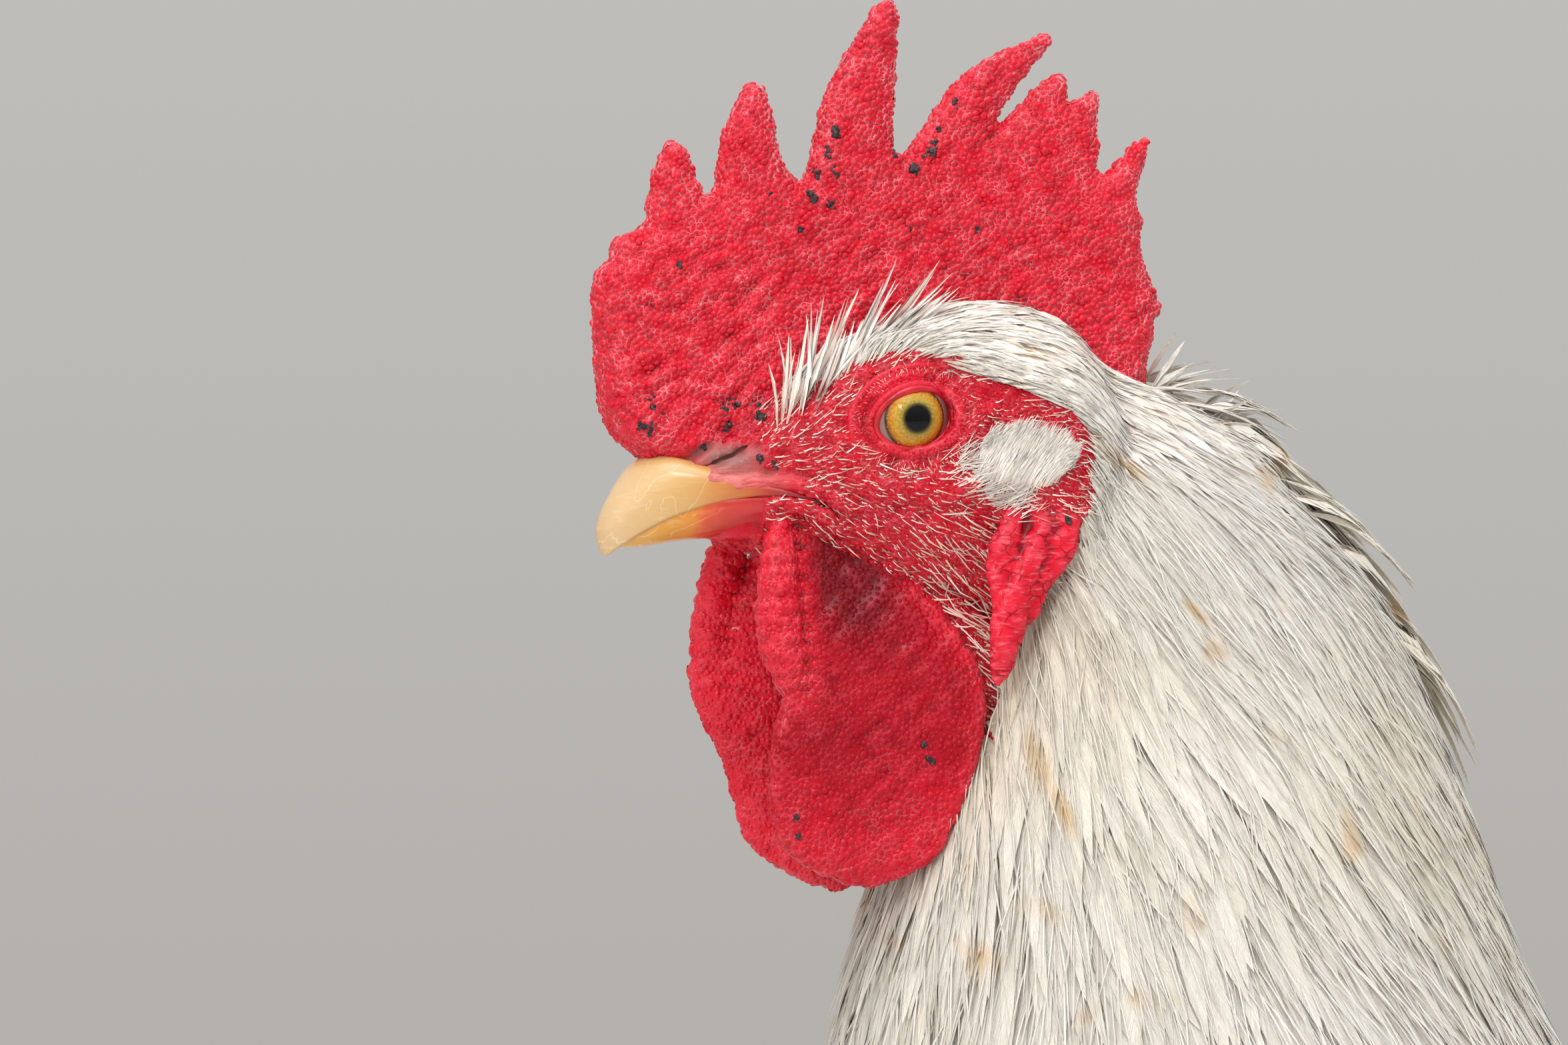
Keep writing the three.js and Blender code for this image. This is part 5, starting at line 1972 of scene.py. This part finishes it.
KINDS = {
    "crown": family(
        6, rows=4, barbs=11, lean=0.45, peak=0.35, tip=1.3, ragged=0.4, camber=0.15, blade=0.75,
    ),
    "hackle": family(
        8, rows=5, barbs=24, lean=0.42, peak=0.3, tip=1.3, ragged=0.4, camber=0.2, blade=0.75,
    ),
    "cape": family(6, rows=7, barbs=22, lean=0.2, peak=0.24, tip=1.4, ragged=0.2, camber=0.3),
    "contour": family(
        6, rows=6, barbs=18, lean=0.3, peak=0.5, tip=2.6, ragged=0.12, camber=0.14, blade=0.85,
    ),
    "fluff": family(
        6, rows=4, barbs=18, lean=0.45, peak=0.4, tip=1.5, ragged=0.5, camber=0.1, blade=0.6,
    ),
    "covert": family(
        5, rows=5, barbs=12, lean=0.2, peak=0.5, tip=2.6, ragged=0.06, camber=0.15, blade=0.95,
    ),
}

TRACTS = (  # name, kind, where, gap, length, half width, height at the root and the tip, roll
    (
        "crown_feathers", "crown", crown, fixed(1.15), levels((-3, 9), (8, 8), (18, 6.5)), fixed(1.1),
        (0.1, 1.1), 0.2,
    ),
    ("hackle_feathers", "hackle", hackle_ground, levels((0, 2.0), (-40, 2.5), (-112, 3.2)),
     levels((5, 12), (-20, 20), (-60, 33), (-112, 48)),
     levels((5, 1.4), (-20, 2.3), (-60, 3.5), (-112, 4.4)),
     (0.2, 3.4), 0.15),
    (
        "cape_feathers", "cape", cape_ground, fixed(5.2), levels((-96, 62), (-190, 82)), fixed(4.4),
        (0.5, 6), 0.1,
    ),
    (
        "breast_feathers", "contour", trunk_part(-190, -70, 190, 400), fixed(7.4), fixed(34), fixed(9),
        (0.5, 8), 0.06,
    ),
    (
        "belly_feathers", "contour", trunk_part(-70, 110, 190, 385), fixed(8), fixed(34), fixed(9.5),
        (0.5, 8), 0.06,
    ),
    ("saddle_feathers", "cape", saddle_ground, fixed(5.6), fixed(80), fixed(4.6), (0.5, 7.5), 0.08),
    (
        "back_feathers", "contour", trunk_part(-70, 30, 372, 420), fixed(7.4), fixed(34), fixed(8.5),
        (0.5, 6.5), 0.06,
    ),
    (
        "vent_fluff", "fluff", trunk_part(95, 190, 200, 400), fixed(6.4), fixed(38), fixed(8),
        (0.5, 9), 0.15,
    ),
    (
        "thigh_feathers", "contour", thigh_ground, fixed(6.5), levels((-405, 14), (-270, 27)),
        levels((-405, 4.4), (-270, 9)), (0.4, 4.5), 0.08,
    ),
    ("hock_feathers", "crown", hock_ground, fixed(2.4), fixed(13), fixed(2.2), (0.1, 2.0), 0.3),
    ("scapulars", "cape", scapular_ground, fixed(5), fixed(46), fixed(5.6), (0.5, 5), 0.05),
    (
        "shoulder_coverts", "covert", shoulder_ground, fixed(5.6), fixed(22), fixed(6.4), (0.3, 3.5),
        0.05,
    ),
)


def plant_sides(name, seed, roots, spines, facing, halves, shapes, roll, soft, material):
    """Plants a tract as two pieces, one on each side of the bird."""
    for label, side in SIDES:
        mine = (roots[:, 1] < 0) == (side < 0)
        piece = plant(
            f"{name}_{label}", seed, spines[mine], facing[mine], halves[mine], shapes, roll, soft,
        )
        finish_piece(piece, MATERIALS[material])


def grow_tract(name, kind, where, gap, length, half, rise, roll, seed):
    rng = np.random.default_rng(seed)
    roots, ups = sow(seed, where, gap)
    lengths = length(roots) * rng.uniform(0.85, 1.15, len(roots))
    low, high = rise[0] * np.ones(len(roots)), rise[1] * rng.uniform(0.8, 1.05, len(roots))
    over = np.clip((-3 - head_place(roots)[:, 2]) / 40, 0.3, 1) if name == "hackle_feathers" else 1.0
    spines, facing = lay(roots, ups, lengths, low, high * over)
    halves = half(roots) * rng.uniform(0.85, 1.15, len(roots))
    material = "fine" if name == "crown_feathers" else "feather"
    plant_sides(name, seed, roots, spines, facing, halves, KINDS[kind], roll, 0.8, material)


for number, tract in enumerate(TRACTS):
    grow_tract(*tract, seed=31 + number)


def loose_barbs():
    """Single barbs, come loose from the feathers of head and neck, that lie over them like fine hair."""
    rng = np.random.default_rng(48)

    def where(points, forms):
        return crown(points, forms) | hackle_ground(points, forms) | cape_ground(points, forms)

    roots, ups = sow(48, where, levels((5, 1.2), (-60, 1.35), (-110, 1.9), (-190, 2.4)))
    z = head_place(roots)[:, 2]
    lengths = np.interp(z, (-190, -100, -30, 5), (34, 22, 14, 6)) * rng.uniform(0.6, 1.15, len(roots))
    # of the feathers that they lie on
    thick = np.interp(z, (-190, -110, -60, -10, 5), (6, 4.5, 3.4, 1.6, 1.2))
    ways = unit(lie(roots) + rng.normal(0, 0.1, roots.shape))
    spines, facing = lay(
        roots, ups, lengths, 0.4 * thick, thick * rng.uniform(0.8, 1.35, len(roots)),
        lambda points: ways,
    )
    radii = np.interp(z, (-190, -60, 5), (0.24, 0.15, 0.1)) * rng.uniform(0.8, 1.2, len(roots))
    plant_sides("loose_barbs", 48, roots, spines, facing, radii, [hair(0.8, 3)], 0.3, 0.85, "feather")


loose_barbs()


# ---- Bristles and fine tufts of the head ----
def standing(roots, ups, ways, lengths, rise, bend=None):
    """Spines that leave the skin along their own ways, rising to a share of their length."""
    ahead = unit(ways - (ways * ups).sum(axis=1, keepdims=True) * ups)
    share = np.linspace(0, 1, STEPS + 1)[None, :, None]
    lengths, rise = lengths[:, None, None], rise[:, None, None]
    spines = roots[:, None] - 0.2 * ups[:, None] + ahead[:, None] * share * lengths
    spines = spines + ups[:, None] * lengths * rise * share**0.7
    if bend is not None:
        spines = spines + bend[:, None] * share**2 * lengths
    return spines, np.repeat(ups[:, None], STEPS + 1, axis=1)


HAIR = [hair()]


def bristle_piece(name, seed, spines, facing, radii, shapes=HAIR, material="bristle", soft=0.4):
    return finish_piece(
        plant(name, seed, spines, facing, radii, shapes, 0.3, soft), MATERIALS[material],
    )


FACE_BRISTLES = (  # name, gap, length from and to, radius from and to, seed
    ("face_flecks", 0.6, 0.6, 1.3, 0.12, 0.19, 50),
    ("face_bristles", 1.0, 1.5, 3.0, 0.11, 0.18, 51),
)


def face_bristles(name, gap, short, long, thin, thick, seed):
    """Short thick flecks all over the face, or the fine bristles between them, longest over the jaw."""
    def where(points, forms):
        clear = (from_opening(points)[0] > 2.9) & (points[:, 0] > EYE_X - 21) & ~smooth_skin(points)
        throat = (np.abs(points[:, 1]) < 9.5) & (points[:, 2] < EYE_Z - 19)
        return (forms == "face") & ~is_plumed(points, forms) & clear & ~throat

    rng = np.random.default_rng(seed)
    roots, ups = sow(seed, where, gap)
    x, z = flat_place(roots)
    kept = rng.random(len(roots)) < np.interp(z, (-30, -14, -4, 4), (1.0, 0.95, 0.75, 0.45))
    roots, ups, x, z = roots[kept], ups[kept], x[kept], z[kept]
    far = np.clip((x + 2) / 8, 0, 1) * np.clip((-11 - z) / 5, 0, 1) * (long > 2)
    lengths = rng.uniform(short, long, len(roots)) + far * rng.uniform(1.5, 5, len(roots))
    ways = face_lie(roots) + rng.normal(0, 0.22, roots.shape) * (1, 0, 1)
    bend = rng.normal((0.12, 0, 0.2), (0.15, 0.05, 0.2), roots.shape)
    spines, facing = standing(roots, ups, ways, lengths, rng.uniform(0.2, 0.5, len(roots)), bend)
    bristle_piece(name, seed, spines, facing, rng.uniform(thin, thick, len(roots)))


def lid_bristles():
    """A sparse ring of tiny bristles round the lids."""
    def where(points, forms):
        out = from_opening(points)[0]
        return np.isin(forms, ("lid", "face")) & (out > 1.5) & (out < 3.1)

    rng = np.random.default_rng(52)
    roots, ups = sow(52, where, 0.5)
    place = head_place(roots) - (LID_MIDDLE[0], 0, LID_MIDDLE[1])
    ways = unit(place * (1, 0, 1)) + rng.normal(0, 0.35, roots.shape) * (1, 0, 1)
    lengths = rng.uniform(0.6, 1.2, len(roots)) * np.where(place[:, 2] < -3, 1.4, 1.0)
    spines, facing = standing(roots, ups, ways, lengths, rng.uniform(0.3, 0.8, len(roots)))
    bristle_piece("lid_bristles", 52, spines, facing, np.full(len(roots), 0.065))


def face_spot(x, z, side):
    """The point of the skin beside (x, z), given round the eye, and the way it faces."""
    start = from_eye(x, side * 60, z)
    hit, _, face, _ = SKIN_TREE.ray_cast(Vector(start), Vector((0, -side, 0)))
    if hit is None:
        return from_eye(x, side * 8, z), np.array([0, side, 0.0])
    return np.array(hit), unit(SKIN_UP[SKIN_FACE[face]].sum(axis=0))


EAR_ROOTS = (
    (9.6, -5.4), (9.2, -7.4), (9.8, -9.6), (12, -11.2), (14.4, -11.9), (17, -11.2), (19.6, -9.8),
    (21.8, -7.9),
)
EAR_TIPS = (
    (11.2, -2.9), (12.1, -1.6), (14.4, -0.8), (17, -0.4), (19.8, -0.8), (22.3, -2.0), (23.4, -4.2),
    (23, -6.6),
)


def ear_tufts(label, side, count=1900):
    """The brush of fine white feathers over the ear: roots along its lower edge, tips in a round crown."""
    rng = np.random.default_rng(53)
    spines, facing = [], []
    for _ in range(count):
        share = rng.random()
        deep = rng.random() ** 0.75  # 0 at the lower edge, 1 close to the tips
        low, tip = (
            smooth_row(row, np.array([share + rng.normal(0, 0.02)]))[0]
            for row in (EAR_ROOTS, EAR_TIPS)
        )
        low = low + rng.normal(0, 0.3, 2)
        root = low + (tip - low) * deep * 0.6
        end = low + (tip - low) * min(
            0.42 + deep * 0.58 + rng.normal(0, 0.03), 1.03,
        ) + rng.normal(0, 0.22, 2)
        (start, up), (finish, _) = face_spot(*root, side), face_spot(*end, side)
        bow = np.array([-0.3, 0, 0.3]) * rng.uniform(0.2, 1.0)
        steps = np.linspace(0, 1, STEPS + 1)[:, None]
        high = 0.15 + (1.2 + 1.5 * deep) * steps**0.8
        spines.append(start + (finish - start) * steps + up * high + bow * np.sin(math.pi * steps))
        facing.append([unit(up + (0, 0, 0.35))] * (STEPS + 1))
    radii = rng.uniform(0.07, 0.11, count)
    bristle_piece(
        f"ear_tuft_{label}", 53, np.array(spines), np.array(facing), radii, [hair(0.9, 4)], "fine",
        0.97,
    )


def ear_fringe(label, side, count=300):
    """Longer bristles that thicken into the ear's brush at its lower front edge."""
    rng = np.random.default_rng(58)
    share = rng.random(count)
    x = np.interp(share, (0, 0.5, 1), (6.5, 9, 15)) + rng.normal(0, 1.2, count)
    z = np.interp(share, (0, 0.5, 1), (-6, -10.5, -13.2)) + rng.normal(0, 1.0, count)
    spots, ups = zip(*(face_spot(*place, side) for place in zip(x, z)))
    turn = np.radians(rng.normal(30, 14, count))
    ways = np.stack([np.cos(turn), np.zeros(count), np.sin(turn)], axis=1)
    spines, facing = standing(
        np.array(spots), np.array(ups), ways, rng.uniform(2.4, 4.6, count),
        rng.uniform(0.2, 0.5, count),
    )
    bristle_piece(
        f"ear_fringe_{label}", 58, spines, facing, rng.uniform(0.08, 0.13, count), material="fine",
        soft=0.8,
    )


def brow_plumes(label, side, count=64):
    """Long thin feathers that rise from the brow over the comb's foot."""
    rng = np.random.default_rng(54)
    spines, facing, halves = [], [], []
    for i in range(count):
        share = i / (count - 1)
        x = -17.8 + 16.5 * share + rng.normal(0, 0.7)
        z = -2.2 + 13 * share**0.85 + rng.normal(0, 0.9)
        start, up = face_spot(x, z, side)
        angle = math.radians(76 - 42 * share + rng.normal(0, 7))
        curl = math.radians(rng.normal(6, 10))
        length = (17 - 3 * share) * rng.uniform(0.55, 1.08)
        row, spot = [start - 0.3 * up], start.copy()
        for step in range(1, STEPS + 1):
            turned = angle + curl * step / STEPS
            spot = spot + np.array([math.cos(turned), 0, math.sin(turned)]) * length / STEPS
            near_comb = np.clip((spot[2] - EYE_Z - 4) / 10, 0, 1)
            y = abs(start[1]) + 1.2 * step / STEPS
            spot[1] = side * (y * (1 - near_comb) + (6.0 + 0.02 * length * step) * near_comb)
            row.append(spot.copy())
        spines.append(row)
        facing.append([np.array([0.1, side, 0.1])] * (STEPS + 1))
        halves.append(rng.uniform(0.35, 0.8))
    shapes = family(5, rows=4, barbs=10, lean=0.5, peak=0.4, tip=1.6, ragged=0.4, camber=0.1, blade=0.5)
    bristle_piece(
        f"brow_plumes_{label}", 54, np.array(spines), np.array(facing), np.array(halves), shapes,
        "fine", 0.8,
    )


def border_feathers():
    """Small pointed feathers that overlap the edge of the bare face."""
    def where(points, forms):
        x, z = flat_place(points)
        over, behind = past_bare(x, z)
        top = (np.abs(over - 0.4) < 1.6) & (x > -15) & (x < 25)
        back = (np.abs(behind - 0.2) < 1.6) & (z < 1) & (z > -37) & (np.abs(points[:, 1]) > 12)
        return np.isin(forms, ("face", "neck", "lid")) & (top | back) & (from_opening(points)[0] > 3)

    rng = np.random.default_rng(55)
    roots, ups = sow(55, where, 0.62)
    lengths = rng.uniform(3.0, 6.5, len(roots))
    spines, facing = lay(
        roots, ups, lengths, np.full(len(roots), 0.1), rng.uniform(0.5, 1.4, len(roots)),
    )
    shapes = family(4, rows=3, barbs=5, lean=0.45, peak=0.4, tip=1.4, ragged=0.4, camber=0.1, blade=0.7)
    bristle_piece(
        "border_feathers", 55, spines, facing, rng.uniform(0.3, 0.5, len(roots)), shapes, "feather",
        0.8,
    )


def ruffled_feathers():
    """Lifted feathers at the back of the neck, mostly on the far side, whose tips stand clear."""
    def where(points, forms):
        x, z = flat_place(points)
        back = np.interp(z, (-52, -27, -6.4, 5), (84, 74, 58, 38))
        return np.isin(
            forms, ("neck", "face"),
        ) & (x > back - 17) & (z < 4) & (z > -36) & (points[:, 1] > -6) & (points[:, 1] < 17)

    def backwards(points):
        way = lie(points) + np.array([0.75, 0.1, 0.35])
        return unit(way)

    rng = np.random.default_rng(56)
    roots, ups = sow(56, where, 3.4)
    lengths = rng.uniform(15, 25, len(roots))
    high = rng.uniform(3, 9, len(roots))
    spines, facing = lay(roots, ups, lengths, np.full(len(roots), 0.5), high, backwards)
    halves = rng.uniform(2.2, 3.4, len(roots))
    bristle_piece("ruffled_feathers", 56, spines, facing, halves, KINDS["fluff"], "feather")


def nape_wisps():
    """Short tufts that stand up at the nape, just behind the comb."""
    rng = np.random.default_rng(57)
    places = [(36 + 4 * a, 1 + 3 * b) for a, b in rng.random((26, 2))] + [
        (46 + 3 * a, -3 + 2 * b)
        for a, b in rng.random((12, 2))
    ]
    roots, ups, ways = [], [], []
    for x, z in places:
        hit, _, face, _ = COATED_TREE.find_nearest(Vector(from_eye(x, rng.uniform(-4, 6), z)))
        roots.append(hit)
        ups.append(unit(SKIN_UP[SKIN_FACE[COATED[face]]].sum(axis=0)))
        ways.append((0.75 + rng.normal(0, 0.2), rng.normal(0, 0.3), 0.5 + rng.normal(0, 0.25)))
    roots, ups, ways = np.array(roots), np.array(ups), np.array(ways)
    lengths = rng.uniform(6, 11, len(roots))
    spines, facing = standing(roots, ups, ways, lengths, rng.uniform(0.5, 0.9, len(roots)))
    bristle_piece(
        "nape_wisps", 57, spines, facing, rng.uniform(0.5, 0.9, len(roots)), KINDS["crown"], "feather",
    )


for row in FACE_BRISTLES:
    face_bristles(*row)
lid_bristles()
border_feathers()
ruffled_feathers()
nape_wisps()
for label, side in SIDES:
    ear_tufts(label, side)
    ear_fringe(label, side)
    brow_plumes(label, side)

# ---- Scabs: dried black crusts on the comb and by the nostril ----
SCABS = (  # place round the eye, and size
    (-8.1, 40.7, 0.9), (-9.3, 37.8, 0.7), (-8.1, 35, 0.8), (-11, 35, 0.7), (-11.8, 31.6, 1.0),
    (-9.1, 30.5, 0.6),
    (10.1, 45.4, 0.6), (7.8, 41.5, 0.7), (6.6, 39, 0.9), (6, 37.8, 0.8), (3.7, 35.7, 1.0),
    (0.8, 37.5, 0.7), (-31.5, 21.6, 0.5),
    (-13.7, 26.7, 0.6), (-17.9, 31.6, 0.5), (2.7, 26.9, 0.5), (13, 26.9, 0.5), (21.9, 14.5, 0.6),
    (-36, 2, 0.8), (-37.5, -1.6, 0.7),
    (-36.3, -2.1, 0.8), (-24, 2.2, 0.7), (-25.3, 0.8, 0.8), (-20.7, 0.5, 1.0), (-24.8, -1.6, 0.8),
    (-28.4, -4.5, 0.6),
    (-21, -6.2, 0.6), (-19, -7.3, 0.6), (22.2, -15, 0.6), (1.5, -47, 0.6), (2.4, -49.4, 0.6),
    (-17.4, -57, 0.6), (-17, -60, 0.5),
)


def scab_material():
    """Dried blood: near black, crusted and dull with a few glossy facets."""
    material, add, shader = new_material("dry scab")
    place = add("TexCoord")
    crust = add("TexNoise", place, per_metre(0.5), 3.0)
    base = add(
        "ValToRGB", crust,
        stops=[(0.35, "#1a1112"), (0.55, "#32262a"), (0.68, "#5e5254"), (0.8, "#8a7a78")],
    )
    set_shader(shader, Base_Color=base, Roughness=0.5, Normal=add("Bump", crust, 0.2 * MM))
    return material


def scabs():
    rng = np.random.default_rng(61)
    roots, ups, sizes = [], [], []
    for x, z, size in SCABS:
        for _ in range(8):
            spot, up = face_spot(x + rng.normal(0, 0.4) * size, z + rng.normal(0, 0.55) * size, -1)
            roots.append(spot + up * 0.12)
            ups.append(unit(up + rng.normal(0, 0.3, 3)))
            sizes.append(size * rng.uniform(0.25, 0.75))
    sizes = np.array(sizes)
    crusts = stud(
        "scabs", 61, np.array(roots), np.array(ups), sizes, sizes * rng.uniform(0.35, 0.8, len(sizes)),
    )
    crusts.data.shade_flat()
    finish_piece(crusts, scab_material())


scabs()


# ---- Wings: long feathers folded along the side, over a form of the wing's own shape ----
WING_TIP = (156, 300, 157, 312, 3, 47)


def long_spines(starts, ends, rise, side, surface):
    """Spines from start to end along the side, which follow the surface and stand off it by rise."""
    spines, facing = [], []
    for start, end, off in zip(starts, ends, rise):
        row, ups = [], []
        for share in np.linspace(0, 1, STEPS + 1):
            x, z = np.array(start) * (1 - share) + np.array(end) * share
            z -= 5 * math.sin(math.pi * share)  # the folded quills sag a little
            hit, normal, _, _ = surface.ray_cast(
                Vector(world((x, side * 160, z))), Vector((0, -side, 0)),
            )
            if hit is None:
                hit, normal, _, _ = surface.find_nearest(Vector(world((x, side * 60, z))))
            up = unit(np.array(normal) * (1, 1, 0.35))
            spot = bird(hit)
            row.append(np.array([x, spot[1], z]) + up * off)
            ups.append(up)
        spines.append(row)
        facing.append(ups)
    return np.array(spines), np.array(facing)


# name, count, first and last root, first and last tip, half width, off the wing: first and last
WING_ROWS = (
    ("primaries", 4, (20, 292), (40, 306), (150, 296), (164, 306), 7, -2.4, -1.6),
    ("secondaries", 14, (-72, 286), (-14, 362), (58, 268), (158, 312), 10.5, -2.6, 0.6),
    ("greater_coverts", 14, (-92, 300), (-30, 372), (-38, 286), (38, 352), 8.5, -0.2, 1.4),
    ("median_coverts", 13, (-98, 314), (-52, 374), (-62, 300), (-8, 362), 8, 0.4, 1.9),
)


def wing_feathers(label, side):
    form = loft(f"wing_form_{label}", on_side((*WING, WING_TIP), side), 32, 48, (0.08, 0.05), grow=-1.5)
    surface = surface_of(form)
    bpy.data.objects.remove(form)
    quills = family(
        4, rows=14, barbs=14, lean=0.11, peak=0.12, tip=5, ragged=0.02, camber=0.1, blade=0.98,
        shaft=0.05,
    )
    for number, (name, count, *ends, half, low, high) in enumerate(WING_ROWS):
        first_root, last_root, first_tip, last_tip = ends
        starts, tips = np.linspace(
            first_root, last_root, count,
        ), np.linspace(first_tip, last_tip, count)
        spines, facing = long_spines(starts, tips, np.linspace(low, high, count), side, surface)
        shapes = KINDS["covert"] if "coverts" in name else quills
        piece = plant(
            f"{name}_{label}", 70 + number, spines, facing, np.full(count, float(half)), shapes, 0.03,
        )
        finish_piece(piece, MATERIALS["feather"])


for label, side in SIDES:
    wing_feathers(label, side)

# ---- Tail ----
# root, angles at its start and end above level, length, half width, distance from the middle
SICKLES = (
    ((130, 410), 74, -62, 330, 13, 5),
    ((134, 404), 66, -66, 280, 12, 17),
    ((138, 396), 56, -70, 235, 11, 24),
    ((144, 386), 44, -72, 195, 10, 30),
)
TAIL_COVERTS = (
    ((112, 412), 52, -58, 120, 8, 8),
    ((118, 404), 44, -64, 132, 8, 18),
    ((122, 396), 34, -68, 124, 8, 26),
    ((128, 386), 22, -72, 112, 7.5, 32),
    ((134, 374), 8, -76, 96, 7, 34),
    ((120, 410), 60, -50, 150, 9, 12),
    ((132, 400), 50, -62, 158, 9, 22),
)
TAIL_POINTS = 13


def arc(root, start, end, length, out, side):
    """The line of a feather that leaves its root at one angle and curls over to another."""
    share = np.linspace(0, 1, TAIL_POINTS)
    angle = np.radians(start + (end - start) * share**1.15)
    step = length / (TAIL_POINTS - 1)
    x = root[0] + np.concatenate([[0], np.cumsum(np.cos(angle[:-1]) * step)])
    z = root[1] + np.concatenate([[0], np.cumsum(np.sin(angle[:-1]) * step)])
    return np.stack([x, side * out * (1 + 0.5 * share), z], axis=1)


def tail_feathers():
    sickle_shapes = family(
        4, rows=18, barbs=30, lean=0.06, peak=0.3, tip=2.2, ragged=0.05, camber=0.35, blade=0.95,
        shaft=0.07,
    )
    rectrix_shapes = family(
        4, rows=14, barbs=18, lean=0.08, peak=0.45, tip=5, ragged=0.02, camber=0.12, blade=0.98,
        shaft=0.045,
    )
    curls, widths, fans = [], [], []
    for _, side in SIDES:
        for root, start, end, length, half, out in (*SICKLES, *TAIL_COVERTS):
            curls.append(arc(root, start, end, length, out, side))
            widths.append(half)
        for i in range(7):
            share = i / 6
            root = (118 + 8 * share, 358 + 42 * share)
            fans.append(
                arc(root, 37 + 19 * share, 33 + 16 * share, 232 - 12 * share, 13 - 10 * share, side)
            )
    curls, fans = np.array(curls), np.array(fans)
    facing_curls, facing_fans = (np.sign(spines) * (0, 1, 0) for spines in (curls, fans))
    fans[..., 1] *= np.linspace(1.2, 0.5, TAIL_POINTS)
    sickles = plant(
        "sickle_feathers", 81, curls, facing_curls, np.array(widths, float), sickle_shapes, 0.12,
    )
    fan = plant("tail_feathers", 82, fans, facing_fans, np.full(len(fans), 16.0), rectrix_shapes, 0.05)
    finish_piece(sickles, MATERIALS["feather"])
    finish_piece(fan, MATERIALS["feather"])
    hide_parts("tail_fan")
    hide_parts(*(name for name in frame["nodes"] if name.startswith("sickle_")))


tail_feathers()


# ---- Camera, light and floor ----
VIEW_TURN = math.radians(-15)  # the camera stands a little ahead of square to the bird's left side
CAMERA_AWAY = 1.2
VIEW_WIDTH = 0.22344  # how much of the bird's plane the view takes in, in metres
LOOK_AT = (-18.6, -15.3)  # the view's middle from the near eye, across and up, in millimetres
NEAR_EYE_OUT = 15.2


def camera():
    back = np.array([math.sin(VIEW_TURN), -math.cos(VIEW_TURN), 0])
    right = np.array([math.cos(VIEW_TURN), math.sin(VIEW_TURN), 0])
    near_eye = world(from_eye(0, -NEAR_EYE_OUT, 0))
    target = near_eye + (right * LOOK_AT[0] + np.array([0, 0, 1]) * LOOK_AT[1]) * MM
    deselect_all()
    bpy.ops.object.camera_add(
        location=target + back * CAMERA_AWAY, rotation=(math.pi / 2, 0, VIEW_TURN),
    )
    view = bpy.context.object
    view.data.sensor_width = 36
    view.data.lens = 36 * CAMERA_AWAY / VIEW_WIDTH
    view.data.clip_start = 0.02
    bpy.context.scene.camera = view


def soft_light(name, place, aim, size, power, tone):
    """A square soft box at a place in metres, turned to its aim."""
    deselect_all()
    bpy.ops.object.light_add(type="AREA", location=place)
    lamp = bpy.context.object
    lamp.name = name
    lamp.data.size = size
    lamp.data.energy = power
    lamp.data.color = colour(tone)[:3]
    lamp.rotation_mode = "QUATERNION"
    lamp.rotation_quaternion = (Vector(aim) - Vector(place)).to_track_quat("-Z", "Y")


def studio():
    bpy.context.scene.view_settings.view_transform = "Standard"
    world_light = bpy.data.worlds.new("pale room")
    world_light.use_nodes = True
    tree = world_light.node_tree
    add = partial(add_node, tree)
    upwards = add("SeparateXYZ", add("TexCoord", output="Generated"))
    heights = add("MapRange", upwards, -1.0, 1.0)
    grey = add(
        "ValToRGB", heights,
        stops=[
            (0.0, "#a09b95"), (0.46, "#b2afaa"), (0.56, "#c4c3c1"), (0.75, "#e8eaec"), (1.0, "#f6f8fb"),
        ],
    )
    tree.links.new(grey, tree.nodes["Background"].inputs["Color"])
    bpy.context.scene.world = world_light
    middle = tuple(world((-100, 0, 500)))
    soft_light("sky", (-0.5, -0.7, 1.9), middle, 1.2, 14, "#f6f9ff")
    soft_light("window", (-1.0, -1.3, 1.3), middle, 0.3, 5, "#ffffff")
    soft_light("front", (-1.5, -1.1, 0.7), middle, 1.0, 4, "#fff6ea")
    soft_light("behind", (0.9, 1.2, 1.2), middle, 1.0, 5, "#ffffff")
    deselect_all()
    bpy.ops.mesh.primitive_plane_add(size=3.2)
    floor = bpy.context.object
    floor.name = "floor"
    paper, add, shader = new_material("pale paper")
    grain = add("TexNoise", add("TexCoord"), per_metre(40), 2.0)
    set_shader(
        shader, Base_Color=add("ValToRGB", grain, stops=[(0.3, "#dcdad6"), (0.7, "#e0deda")]),
        Roughness=0.9,
    )
    floor.data.materials.append(paper)


camera()
studio()
